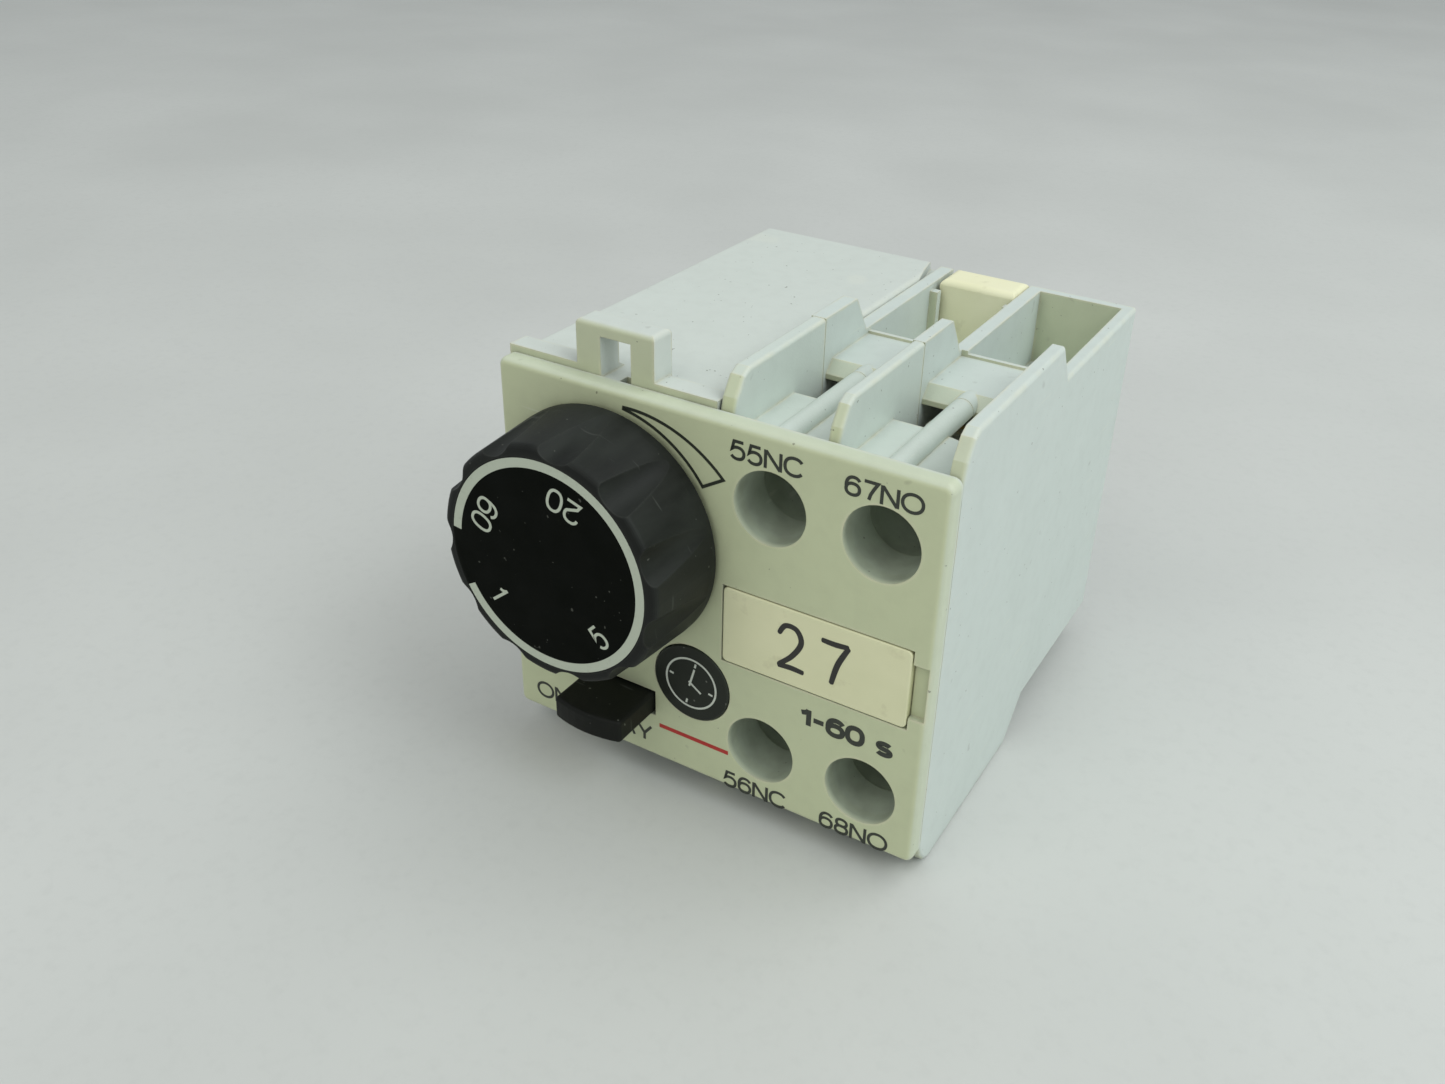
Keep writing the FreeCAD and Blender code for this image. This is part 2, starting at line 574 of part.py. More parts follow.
def bellows():
    """Rubber bellows: two collars with folds between them."""
    inner = BELLOWS_BOSS_R + GAP
    fold_start = BELLOWS_FRONT + 2.4
    fold_end = BELLOWS_REAR - 2.4
    pitch = (fold_end - fold_start) / BELLOWS_FOLDS
    outside = [(BELLOWS_ROOT_R, BELLOWS_FRONT)]
    inside = [(inner, BELLOWS_FRONT)]
    for fold in range(BELLOWS_FOLDS):
        d = fold_start + fold * pitch
        outside += [(BELLOWS_ROOT_R, d), (BELLOWS_R, d + 0.35 * pitch), (BELLOWS_R, d + 0.65 * pitch)]
        inside += [(inner, d + 0.1), (BELLOWS_R - BELLOWS_SKIN, d + 0.5 * pitch)]
    outside += [(BELLOWS_ROOT_R, fold_end), (BELLOWS_ROOT_R, BELLOWS_REAR)]
    inside += [(inner, fold_end), (inner, BELLOWS_REAR)]
    return turned(KNOB_X, KNOB_Z, outside + list(reversed(inside)))


def bellows_spring():
    return coil_along_depth(KNOB_X, KNOB_Z, 3.6, 0.35, 11.05, 18.3, 4)


def bellows_plunger():
    boss = rod(KNOB_X, KNOB_Z, BELLOWS_BOSS_R, 18.35, 20.8)
    plate = rod(KNOB_X, KNOB_Z, 7.2, BELLOWS_REAR + GAP, 22.2)
    tail = block((KNOB_X - 3.0, KNOB_X + 3.0), (22.0, PLUNGER_END), (-3.0, 8.0))
    return joined([boss, plate, tail])


# ---- slide, lever and latch --------------------------------------------------------
def tab_outline():
    """Plan of the tab: bowed front edge with rounded corners."""
    x0, x1 = TAB_X
    middle = (x0 + x1) / 2
    half = (x1 - x0) / 2
    bow = 0.6
    points = []
    for step in range(9):
        across = -1 + step / 4
        points.append((middle + across * half, TAB_FRONT + bow * across * across))
    return points


def actuator_slide():
    tab = plan_shape(tab_outline() + [(TAB_X[1], PLATE_THICK + 1.4), (TAB_X[0], PLATE_THICK + 1.4)], TAB_Z)
    tab = rounded(tab, 0.4, lambda edge, mid: mid.y < -DEPTH - 0.2 and not runs_along(edge, AXIS_Z)
                  or near(mid.y, TAB_FRONT + 0.6 - DEPTH))
    bar = block(BAR_X, (PLATE_THICK + 1.0, HOOK_END), BAR_Z)
    finger = block(FINGER_X, FINGER_D, (BAR_Z[0], 6.0))
    web = side_shape([(FINGER_D[1] - 0.1, BAR_Z[1] - 0.2), (FINGER_D[1] + 3.5, BAR_Z[1] - 0.2),
                      (FINGER_D[1] - 0.1, -5.0)], (FINGER_X[0] + 0.6, FINGER_X[1] - 0.2))
    lug = block((-19.6, -12.0), (28.5, 30.0), (-14.6, -11.0))
    hook = block(BAR_X, (HOOK_END - 1.4, HOOK_END), (BAR_Z[0], -9.5))
    return joined([tab, bar, finger, web, lug, hook])


def slide_return_spring():
    return coil_along_depth(-17.4, -12.8, 1.7, 0.3, 30.05, DEPTH - WALL - GAP, 9)


def lever_arm(tip, half_width):
    """Bar from the pivot to a nose."""
    dx = tip[0] - PIVOT[0]
    dy = tip[1] - PIVOT[1]
    length = math.hypot(dx, dy)
    nx = -dy / length * half_width
    ny = dx / length * half_width
    outline = [(PIVOT[0] + nx, PIVOT[1] + ny), (tip[0] + nx, tip[1] + ny),
               (tip[0] - nx, tip[1] - ny), (PIVOT[0] - nx, PIVOT[1] - ny)]
    return plan_shape(outline, (-LEVER_HALF_Z, LEVER_HALF_Z))


def trip_lever():
    hub = post(PIVOT[0], PIVOT[1], 2.0, -LEVER_HALF_Z, LEVER_HALF_Z)
    parts = [hub]
    for tip in (NOSE_LEFT, NOSE_RIGHT):
        parts.append(lever_arm(tip, 0.85))
        parts.append(post(tip[0], tip[1], NOSE_R, -LEVER_HALF_Z, LEVER_HALF_Z))
    return joined(parts).cut(post(PIVOT[0], PIVOT[1], PIN_R + 0.05, -2, 2))


def lever_pin():
    return post(PIVOT[0], PIVOT[1], PIN_R, -2.9, 2.9)


def release_latch():
    x0, x1 = LATCH_X
    body = block((x0 + 0.1, x1 - 0.1), LATCH_D, (LATCH_FOOT, LATCH_CAP_Z[0] + 0.5))
    cap = block(LATCH_X, LATCH_CAP_D, LATCH_CAP_Z)
    cap = rounded(cap, LATCH_CAP_R, lambda edge, mid: near(mid.z, LATCH_CAP_Z[1]))
    nib_root = LATCH_D[1] - OVERLAP
    nib_tip = DEPTH + 1.8
    nib = side_shape([(nib_root, 11.4), (nib_root, 14.0), (DEPTH + 0.3, 14.0), (nib_tip, 12.4),
                      (nib_tip, 11.4)], (4.6, 8.4))
    return joined([body, cap, nib])


def latch_spring():
    spring = coil(1.4, 0.25, LATCH_FOOT - LATCH_WELL_FLOOR - 2 * GAP, 4)
    spring.translate(V(sum(LATCH_X) / 2, sum(LATCH_D) / 2 - DEPTH, LATCH_WELL_FLOOR + GAP))
    return spring


# ---- terminals and contacts --------------------------------------------------------
def terminal_strip(pole, row):
    """Bent strip: clamp plate with threaded collar, tongue and contact tip with its pad."""
    x = POLE_X[pole]
    side = ROW[row]
    sign = side["sign"]
    screw_z = side["screw_z"]
    strip_rear = STRIP_FRONT + STRIP_THICK
    plate = block((x - STRIP_HALF, x + STRIP_HALF), (STRIP_FRONT, strip_rear),
                  (sign * (TONGUE_Z[0] + 0.45), screw_z + sign * 3.3))
    neck = block((x - TONGUE_HALF, x + TONGUE_HALF), (STRIP_FRONT + 0.85, strip_rear),
                 (sign * TONGUE_Z[0], sign * (TONGUE_Z[0] + 1.5)))
    collar = rod(x, screw_z, 2.6, strip_rear - 0.1, strip_rear + 1.2)
    if pole == "nc":
        pad_front = NC_BRIDGE + BRIDGE_THICK + PAD_H + CLOSED_GAP
        tip = (pad_front + PAD_H, pad_front + PAD_H + TIP_THICK)
        pad = (pad_front, tip[0] + 0.1)
    else:
        pad_rear = NO_BRIDGE - PAD_H - OPEN_GAP
        tip = (pad_rear - PAD_H - TIP_THICK, pad_rear - PAD_H)
        pad = (tip[1] - 0.1, pad_rear)
    half = (x - TONGUE_HALF, x + TONGUE_HALF)
    tongue = block(half, (strip_rear - 0.15, tip[1]), (sign * TONGUE_Z[0], sign * TONGUE_Z[1]))
    end = block(half, tip, (sign * TIP_Z, sign * TONGUE_Z[1]))
    button = rod(x, sign * PAD_Z, PAD_R, pad[0], pad[1])
    strip = joined([plate, neck, collar, tongue, end, button])
    return strip.cut(rod(x, screw_z, THREAD_HOLE_R, STRIP_FRONT - 1, strip_rear + 2))


def clamp_saddle(pole, row):
    x = POLE_X[pole]
    z = ROW[row]["screw_z"]
    rear = STRIP_FRONT - GAP
    plate = block((x - SADDLE_HALF_X, x + SADDLE_HALF_X), (rear - SADDLE_THICK, rear),
                  (z - SADDLE_HALF_Z, z + SADDLE_HALF_Z))
    parts = [plate]
    for side in (-1, 1):
        leg = (x + side * (STRIP_HALF + 0.15), x + side * SADDLE_HALF_X)
        parts.append(block(leg, (rear - 0.1, rear + 0.95), (z - 2.6, z + 2.6)))
    saddle = joined(parts)
    return saddle.cut(rod(x, z, SADDLE_HOLE_R, 0, DEPTH))


def terminal_screw(pole, row):
    x = POLE_X[pole]
    z = ROW[row]["screw_z"]
    head = rod(x, z, SCREW_HEAD_R, SCREW_HEAD_FRONT, SCREW_HEAD_REAR)
    head = rounded(head, 0.5, lambda edge, mid: near(mid.y, SCREW_HEAD_FRONT - DEPTH))
    screw = head.fuse(rod(x, z, SCREW_SHANK_R, SCREW_HEAD_REAR - 0.1, SCREW_TIP))
    arm = 2.1
    half_slot = 0.4
    slot_depth = (SCREW_HEAD_FRONT - 1, SCREW_HEAD_FRONT + 1.1)
    slot_x = (x - SCREW_HEAD_R - 1, x + SCREW_HEAD_R + 1)
    screw = screw.cut(block(slot_x, slot_depth, (z - half_slot, z + half_slot)))
    return screw.cut(block((x - half_slot, x + half_slot), slot_depth, (z - arm, z + arm)))


def moving_bridge(pole):
    x = POLE_X[pole]
    front = NC_BRIDGE if pole == "nc" else NO_BRIDGE
    plate = block((x - BRIDGE_HALF_X, x + BRIDGE_HALF_X), (front, front + BRIDGE_THICK),
                  (-BRIDGE_HALF_Z, BRIDGE_HALF_Z))
    rear = front + BRIDGE_THICK
    sink = 0.1
    pad_depth = (rear - sink, rear + PAD_H) if pole == "nc" else (front - PAD_H, front + sink)
    pads = [rod(x, sign * PAD_Z, PAD_R, pad_depth[0], pad_depth[1]) for sign in (-1, 1)]
    return joined([plate] + pads)


def contact_carrier():
    """Moulded carrier: one window for each bridge, and a fork slot for the trip lever."""
    z = (-CARRIER_HALF_Z, CARRIER_HALF_Z)
    tall = (-CARRIER_HALF_Z - 1, CARRIER_HALF_Z + 1)
    body = joined([block((2.3, 9.2), NC_HEAD, z), block((8.6, 14.6), (28.0, 42.4), z),
                   block((14.0, 20.5), NO_HEAD, z)])
    nc = POLE_X["nc"]
    no = POLE_X["no"]
    window = BRIDGE_HALF_X + 0.2
    nc_window = (NC_HEAD[0] + HEAD_SKIN, NC_BRIDGE + BRIDGE_THICK + GAP)
    no_window = (NO_BRIDGE - GAP, NO_HEAD[1] - HEAD_SKIN - 0.2)
    body = body.cut(block((nc - window, nc + window), nc_window, tall))
    body = body.cut(block((no - window, no + window), no_window, tall))
    fork = NOSE_R + 0.15
    return body.cut(block((2.0, 6.2), (NOSE_RIGHT[1] - fork, NOSE_RIGHT[1] + fork), (-1.5, 1.5)))


def bridge_spring(pole):
    """Spring between the end of the carrier's window and its bridge."""
    play = 0.02
    front = NC_HEAD[0] + HEAD_SKIN + play
    rear = NC_BRIDGE - play
    if pole == "no":
        front = NO_BRIDGE + BRIDGE_THICK + play
        rear = NO_HEAD[1] - HEAD_SKIN - 0.2 - play
    return coil_along_depth(POLE_X[pole], 0, 1.1, 0.2, front, rear, 4)


def carrier_return_spring():
    return coil_along_depth(11.9, 0, 1.8, 0.25, 17.85, 27.95, 6)


# ---- write one file per piece ------------------------------------------------------
def all_parts():
    parts = {
        "front_cover": front_cover(),
        "timer_housing": timer_housing(),
        "contact_housing": contact_housing(),
        "marker_plate": marker_plate(),
        "emblem_disc": emblem_disc(),
        "time_knob": knob(),
        "dial_disc": dial_disc(),
        "regulating_disc": regulating_disc(),
        "friction_washer": friction_washer(),
        "metering_gasket": metering_gasket(),
        "air_head": air_head(),
        "filter_felt": filter_felt(),
        "bellows": bellows(),
        "bellows_spring": bellows_spring(),
        "bellows_plunger": bellows_plunger(),
        "actuator_slide": actuator_slide(),
        "slide_return_spring": slide_return_spring(),
        "trip_lever": trip_lever(),
        "lever_pin": lever_pin(),
        "contact_carrier": contact_carrier(),
        "carrier_return_spring": carrier_return_spring(),
        "release_latch": release_latch(),
        "latch_spring": latch_spring(),
    }
    for pole in POLE_X:
        parts[pole + "_bridge"] = moving_bridge(pole)
        parts[pole + "_bridge_spring"] = bridge_spring(pole)
        for row in ROW:
            parts[pole + "_strip_" + row] = terminal_strip(pole, row)
            parts[pole + "_clamp_" + row] = clamp_saddle(pole, row)
            parts[pole + "_screw_" + row] = terminal_screw(pole, row)
    return parts


os.makedirs("parts", exist_ok=True)
for name, shape in all_parts().items():
    shape.exportStep("parts/" + name + ".step")
    print(name, len(shape.Solids), shape.isValid(), round(shape.Volume, 1))
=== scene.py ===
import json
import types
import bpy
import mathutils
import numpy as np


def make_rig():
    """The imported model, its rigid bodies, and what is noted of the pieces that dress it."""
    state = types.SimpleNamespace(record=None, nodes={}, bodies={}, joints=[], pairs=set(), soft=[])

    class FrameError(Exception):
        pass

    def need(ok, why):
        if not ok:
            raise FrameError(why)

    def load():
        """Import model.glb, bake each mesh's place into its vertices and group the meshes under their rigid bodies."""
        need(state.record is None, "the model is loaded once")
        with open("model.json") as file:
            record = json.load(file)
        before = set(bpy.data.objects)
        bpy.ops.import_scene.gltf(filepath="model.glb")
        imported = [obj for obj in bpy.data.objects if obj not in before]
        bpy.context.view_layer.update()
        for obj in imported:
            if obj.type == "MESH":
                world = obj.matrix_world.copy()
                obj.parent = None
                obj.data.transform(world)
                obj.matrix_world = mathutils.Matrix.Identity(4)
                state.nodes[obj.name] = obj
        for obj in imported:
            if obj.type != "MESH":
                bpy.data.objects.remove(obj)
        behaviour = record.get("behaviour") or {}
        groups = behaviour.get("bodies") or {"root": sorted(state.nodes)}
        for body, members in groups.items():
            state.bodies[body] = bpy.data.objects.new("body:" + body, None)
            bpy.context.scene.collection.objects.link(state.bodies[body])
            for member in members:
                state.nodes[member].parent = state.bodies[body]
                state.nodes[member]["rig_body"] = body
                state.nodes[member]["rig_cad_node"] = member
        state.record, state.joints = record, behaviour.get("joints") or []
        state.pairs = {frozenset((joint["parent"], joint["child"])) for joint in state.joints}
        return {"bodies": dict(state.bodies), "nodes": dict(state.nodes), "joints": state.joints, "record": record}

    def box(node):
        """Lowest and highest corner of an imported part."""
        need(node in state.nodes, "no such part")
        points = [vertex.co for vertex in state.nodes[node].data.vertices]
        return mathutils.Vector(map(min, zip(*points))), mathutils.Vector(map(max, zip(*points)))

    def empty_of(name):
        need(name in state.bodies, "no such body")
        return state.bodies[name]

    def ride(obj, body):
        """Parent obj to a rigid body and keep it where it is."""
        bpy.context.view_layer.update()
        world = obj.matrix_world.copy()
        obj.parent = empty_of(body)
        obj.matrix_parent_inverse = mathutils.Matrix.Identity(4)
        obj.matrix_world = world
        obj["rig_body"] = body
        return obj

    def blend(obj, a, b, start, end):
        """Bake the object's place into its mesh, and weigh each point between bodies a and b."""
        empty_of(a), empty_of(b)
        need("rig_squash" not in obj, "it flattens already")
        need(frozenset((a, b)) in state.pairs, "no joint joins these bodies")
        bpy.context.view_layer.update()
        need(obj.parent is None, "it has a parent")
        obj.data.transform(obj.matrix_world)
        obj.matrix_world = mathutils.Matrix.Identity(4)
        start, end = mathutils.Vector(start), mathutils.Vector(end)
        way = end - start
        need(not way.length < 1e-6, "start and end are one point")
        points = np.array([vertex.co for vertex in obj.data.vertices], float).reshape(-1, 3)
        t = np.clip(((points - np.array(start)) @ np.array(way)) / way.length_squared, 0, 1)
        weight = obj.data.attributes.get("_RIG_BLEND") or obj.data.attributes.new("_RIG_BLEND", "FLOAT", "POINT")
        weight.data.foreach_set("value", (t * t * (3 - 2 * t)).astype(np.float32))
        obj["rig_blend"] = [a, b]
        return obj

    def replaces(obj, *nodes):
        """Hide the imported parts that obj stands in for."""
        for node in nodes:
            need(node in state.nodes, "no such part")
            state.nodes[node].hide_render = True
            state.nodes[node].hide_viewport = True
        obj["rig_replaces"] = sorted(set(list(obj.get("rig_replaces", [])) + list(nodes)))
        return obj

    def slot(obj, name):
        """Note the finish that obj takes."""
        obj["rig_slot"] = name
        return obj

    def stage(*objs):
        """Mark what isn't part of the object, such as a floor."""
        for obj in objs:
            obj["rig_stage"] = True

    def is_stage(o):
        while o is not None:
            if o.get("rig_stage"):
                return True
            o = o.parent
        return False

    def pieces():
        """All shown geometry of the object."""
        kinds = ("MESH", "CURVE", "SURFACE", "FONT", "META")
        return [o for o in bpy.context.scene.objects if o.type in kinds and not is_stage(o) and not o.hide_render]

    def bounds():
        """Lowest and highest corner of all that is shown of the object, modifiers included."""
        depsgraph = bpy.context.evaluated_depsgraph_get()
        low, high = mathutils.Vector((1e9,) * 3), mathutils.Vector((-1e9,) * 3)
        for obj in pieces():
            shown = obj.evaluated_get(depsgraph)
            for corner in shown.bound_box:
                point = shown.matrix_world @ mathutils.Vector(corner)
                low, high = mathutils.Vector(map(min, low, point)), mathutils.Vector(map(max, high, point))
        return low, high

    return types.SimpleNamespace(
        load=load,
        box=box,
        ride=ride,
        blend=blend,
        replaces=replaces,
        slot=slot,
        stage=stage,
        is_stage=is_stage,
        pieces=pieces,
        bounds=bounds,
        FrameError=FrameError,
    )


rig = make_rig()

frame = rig.load()

import json
import math

import bmesh
import bpy
from mathutils import Matrix, Vector, noise

cad_low, cad_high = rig.bounds()

# Everything below is in millimetres in the CAD frame, and scaled to metres when a mesh is made.
# X runs to the right, Y from the front plate to the rear, Z up.
MM = 0.001


def middle(node):
    """Centre X, Y and Z of a CAD node in mm, to the micron."""
    low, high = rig.box(node)
    return [round(value / 2 / MM, 3) for value in low + high]


def front_of(node):
    """Y of the foremost face of a CAD node in mm, to the micron."""
    return round(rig.box(node)[0].y / MM, 3)


FRONT = front_of("front_cover")
DIAL_FRONT = front_of("dial_disc")
LABEL_FRONT = front_of("marker_plate")
EMBLEM_FRONT = front_of("emblem_disc")
KNOB_X, _, KNOB_Z = middle("dial_disc")
EMBLEM_X, _, EMBLEM_Z = middle("emblem_disc")
LABEL_X, _, LABEL_Z = middle("marker_plate")

POLES = ("nc", "no")
ROWS = ("top", "bottom")
WELLS = []             # X and Z of the axes of the screw wells
for pole in POLES:
    for row in ROWS:
        screw_x, _, screw_z = middle(pole + "_screw_" + row)
        WELLS.append((screw_x, screw_z))
WELL_REACH = 4.05      # radius about a well's axis that takes in its wall
WELL_STEP_Y = FRONT + 5.2

INK = 0.02             # how far printing stands proud, and how far it sinks in
INK_STEP = 0.002       # added height from one stroke to the next, so that none lie in the same plane
INK_LEVELS = 6
FLOOR_Z = cad_low.z / MM - 0.03    # just clear of the lowest faces


# ---------------------------------------------------------------- materials

COLOUR_ONE = 6         # sockets of the Mix node when it mixes colours
COLOUR_TWO = 7
COLOUR_OUT = 2


def rgb(red, green, blue):
    """Linear colour from the 0 to 255 numbers of a colour picker."""
    return tuple(((value / 255 + 0.055) / 1.055) ** 2.4 for value in (red, green, blue)) + (1.0,)


class Tree:
    """One material, and short calls that add nodes to it."""

    def __init__(self, name, metallic=0.0, shine=0.5):
        self.material = bpy.data.materials.new(name)
        self.material.use_nodes = True
        self.nodes = self.material.node_tree.nodes
        self.links = self.material.node_tree.links
        self.shader = self.nodes["Principled BSDF"]
        self.shader.inputs["Metallic"].default_value = metallic
        self.shader.inputs["Specular IOR Level"].default_value = shine
        self.place = self.add("ShaderNodeTexCoord").outputs["Object"]

    def add(self, kind, **settings):
        made = self.nodes.new(kind)
        for key, value in settings.items():
            setattr(made, key, value)
        return made

    def feed(self, socket, value):
        if isinstance(value, bpy.types.NodeSocket):
            self.links.new(value, socket)
        else:
            socket.default_value = value

    def noise(self, size, detail=2.0, stretch=(1, 1, 1)):
        """Cloudy values from 0 to 1 with features of a given size in mm, stretched along the axes."""
        scaled = self.add("ShaderNodeVectorMath", operation="DIVIDE")
        self.feed(scaled.inputs[0], self.place)
        scaled.inputs[1].default_value = [size * MM * factor for factor in stretch]
        cloud = self.add("ShaderNodeTexNoise")
        self.feed(cloud.inputs["Vector"], scaled.outputs[0])
        cloud.inputs["Scale"].default_value = 1.0
        cloud.inputs["Detail"].default_value = detail
        return cloud.outputs["Fac"]

    def span(self, value, low, high, bottom=0.0, top=1.0):
        """Moves the range low to high onto bottom to top, clipped at both ends."""
        made = self.add("ShaderNodeMapRange")
        self.feed(made.inputs["Value"], value)
        made.inputs["From Min"].default_value = low
        made.inputs["From Max"].default_value = high
        made.inputs["To Min"].default_value = bottom
        made.inputs["To Max"].default_value = top
        return made.outputs["Result"]

    def combine(self, operation, first, second):
        """Value made from two others by MULTIPLY, ADD, MAXIMUM or MINIMUM."""
        made = self.add("ShaderNodeMath", operation=operation)
        self.feed(made.inputs[0], first)
        self.feed(made.inputs[1], second)
        return made.outputs[0]

    def mix(self, share, first, second):
        """Colour between first and second."""
        made = self.add("ShaderNodeMix", data_type="RGBA")
        self.feed(made.inputs["Factor"], share)
        self.feed(made.inputs[COLOUR_ONE], first)
        self.feed(made.inputs[COLOUR_TWO], second)
        return made.outputs[COLOUR_OUT]

    def agreement(self, direction):
        """Cosine of the angle between the surface's normal and a direction."""
        made = self.add("ShaderNodeVectorMath", operation="DOT_PRODUCT")
        self.feed(made.inputs[0], self.add("ShaderNodeNewGeometry").outputs["Normal"])
        self.feed(made.inputs[1], direction)
        return made.outputs["Value"]

    def facing_front(self, low, high):
        """0 to 1 as the surface goes from one agreement with the front direction to another."""
        return self.span(self.agreement((0, -1, 0)), low, high)

    def rounded(self, radius):
        """The surface's normal with edges rounded to a radius in mm."""
        made = self.add("ShaderNodeBevel", samples=4)
        made.inputs["Radius"].default_value = radius * MM
        return made.outputs[0]

    def edges(self, width):
        """1 along edges within a width in mm, 0 on flat faces."""
        return self.span(self.agreement(self.rounded(width)), 0.998, 0.93)

    def corners(self, reach):
        """1 deep in corners and wells, 0 in the open, judged over a reach in mm."""
        made = self.add("ShaderNodeAmbientOcclusion", samples=6)
        made.inputs["Distance"].default_value = reach * MM
        return self.span(made.outputs["AO"], 0.85, 0.3)

    def within(self, centres, radius):
        """1 inside cylinders along Y with the given (X, Z) centres in mm, 0 outside."""
        flat = self.add("ShaderNodeVectorMath", operation="MULTIPLY")
        self.feed(flat.inputs[0], self.place)
        flat.inputs[1].default_value = (1, 0, 1)
        nearest = 1.0      # a metre, farther than any centre
        for x, z in centres:
            made = self.add("ShaderNodeVectorMath", operation="DISTANCE")
            self.feed(made.inputs[0], flat.outputs[0])
            made.inputs[1].default_value = (x * MM, 0, z * MM)
            nearest = self.combine("MINIMUM", nearest, made.outputs["Value"])
        return self.span(nearest, (radius + 0.1) * MM, (radius - 0.05) * MM)

    def along_y(self, start, end):
        """0 to 1 between two places in mm along Y."""
        split = self.add("ShaderNodeSeparateXYZ")
        self.feed(split.inputs[0], self.place)
        return self.span(split.outputs["Y"], start * MM, end * MM)

    def specks(self, strength):
        """Sparse small flecks."""
        return self.span(self.noise(0.5, 1.0), 0.765, 0.79, 0.0, strength)

    def relief(self, height, depth, soften=0.12):
        """Bump of a depth in mm over edges softened to a radius in mm."""
        bump = self.add("ShaderNodeBump")
        bump.inputs["Strength"].default_value = 1.0
        bump.inputs["Distance"].default_value = depth * MM
        self.feed(bump.inputs["Height"], height)
        self.feed(bump.inputs["Normal"], self.rounded(soften))
        self.feed(self.shader.inputs["Normal"], bump.outputs[0])

    def finish(self, colour, rough):
        self.feed(self.shader.inputs["Base Color"], colour)
        self.feed(self.shader.inputs["Roughness"], rough)
        return self.material


# Dirt colour, also used for painted shade in corners, recesses and wells.
DIRT_AND_SHADE = rgb(84, 78, 58)
TARNISH = rgb(96, 84, 60)


def well_grime_and_shade(tree, wells, colour):
    """A colour with grime and painted shade laid over it on the walls of the screw wells."""
    depth = tree.along_y(WELL_STEP_Y, WELL_STEP_Y + 0.3)
    # Painted shade: the well walls are darker and more olive than the plastic, a touch darker again behind the step;
    # the noise over it is grime.
    grime_and_shade = tree.mix(depth, rgb(184, 194, 174), rgb(180, 190, 168))
    sooty = tree.mix(tree.span(tree.noise(2.5, 3.0), 0.35, 0.7, 0.0, 0.35), grime_and_shade, DIRT_AND_SHADE)
    below_rim = tree.along_y(FRONT + 0.2, FRONT + 0.7)
    inside = tree.combine("MULTIPLY", tree.within(wells, WELL_REACH), below_rim)
    return tree.mix(tree.combine("MULTIPLY", inside, 0.85), colour, sooty)


def housing_plastic(name, clean, aged_and_warm_lit, wells=()):
    """Light grey moulded plastic: front yellowed and painted warm-lit, cream rubbed edges, dirt, painted shade, fine
    grain.
    """
    tree = Tree(name)
    cloud = tree.noise(11.0, 3.0)
    fine = tree.noise(1.6, 4.0)
    # The front face, and at 0.6 share all within 1.4 to 1.8 mm of the front, take the front tone: partly yellowing,
    # partly painted warm light.
    rim = tree.combine("MULTIPLY", tree.along_y(FRONT + 1.8, FRONT + 1.4), 0.6)
    base = tree.mix(tree.combine("MAXIMUM", tree.facing_front(0.35, 0.95), rim), clean, aged_and_warm_lit)
    clouded = tree.mix(tree.span(cloud, 0.3, 0.7, 0.0, 0.042), base, DIRT_AND_SHADE)
    mottled = tree.mix(tree.span(fine, 0.45, 0.75, 0.0, 0.044), clouded, DIRT_AND_SHADE)
    wear = tree.combine("MULTIPLY", tree.edges(0.45), tree.span(tree.noise(2.2), 0.35, 0.65, 0.15, 0.75))
    colour = tree.mix(wear, mottled, rgb(226, 221, 192))
    if wells:
        colour = well_grime_and_shade(tree, wells, colour)
    patches = tree.span(tree.noise(3.0, 3.0), 0.3, 0.7, 0.08, 0.4)
    # Painted shade: corners and recesses darkened towards the dirt colour by occlusion, in patches; partly real dirt.
    soiled_and_shaded = tree.mix(tree.combine("MULTIPLY", tree.corners(1.8), patches), colour, DIRT_AND_SHADE)
    stains = tree.span(tree.noise(2.4), 0.72, 0.78, 0.0, 0.22)
    marked = tree.mix(tree.combine("MAXIMUM", tree.specks(0.55), stains), soiled_and_shaded, DIRT_AND_SHADE)
    scratches = tree.span(tree.noise(0.5, 1.0, (14, 14, 1)), 0.72, 0.78, 0.0, 0.25)
    scuffed = tree.mix(scratches, marked, rgb(226, 228, 214))
    grain = tree.noise(0.22, 3.0)
    waves = tree.combine("MULTIPLY", tree.noise(4.0, 1.0), 2.0)
    tree.relief(tree.combine("ADD", grain, waves), 0.012)
    return tree.finish(scuffed, tree.span(cloud, 0.3, 0.7, 0.42, 0.56))


def black_plastic(name, deep, dusty, rough, dust, shine, flecks=0.45, streak=(1, 1, 1)):
    """Black moulded plastic, dustier where it turns from the front, with rubbed edges and fine scuffs."""
    tree = Tree(name, shine=shine)
    cloud = tree.noise(3.2, 4.0, streak)
    turned_away = tree.facing_front(0.95, 0.4)
    settled = tree.span(cloud, 0.35, 0.72, 0.15, dust)
    film = tree.combine("MULTIPLY", settled, tree.span(turned_away, 0, 1, 0.25, 1))
    base = tree.mix(film, deep, dusty)
    rubbed = tree.mix(tree.combine("MULTIPLY", tree.edges(0.3), 0.12), base, rgb(96, 98, 92))
    marked = tree.mix(tree.specks(flecks), rubbed, rgb(140, 142, 132))
    scuffs = tree.span(tree.noise(0.5, 1.0, (9, 1, 9)), 0.71, 0.76, 0.0, 0.16)
    scuffed = tree.mix(tree.combine("MULTIPLY", scuffs, turned_away), marked, rgb(118, 120, 116))
    tree.relief(tree.noise(0.3, 3.0), 0.01)
    return tree.finish(scuffed, tree.span(cloud, 0.3, 0.7, rough - 0.08, rough + 0.12))


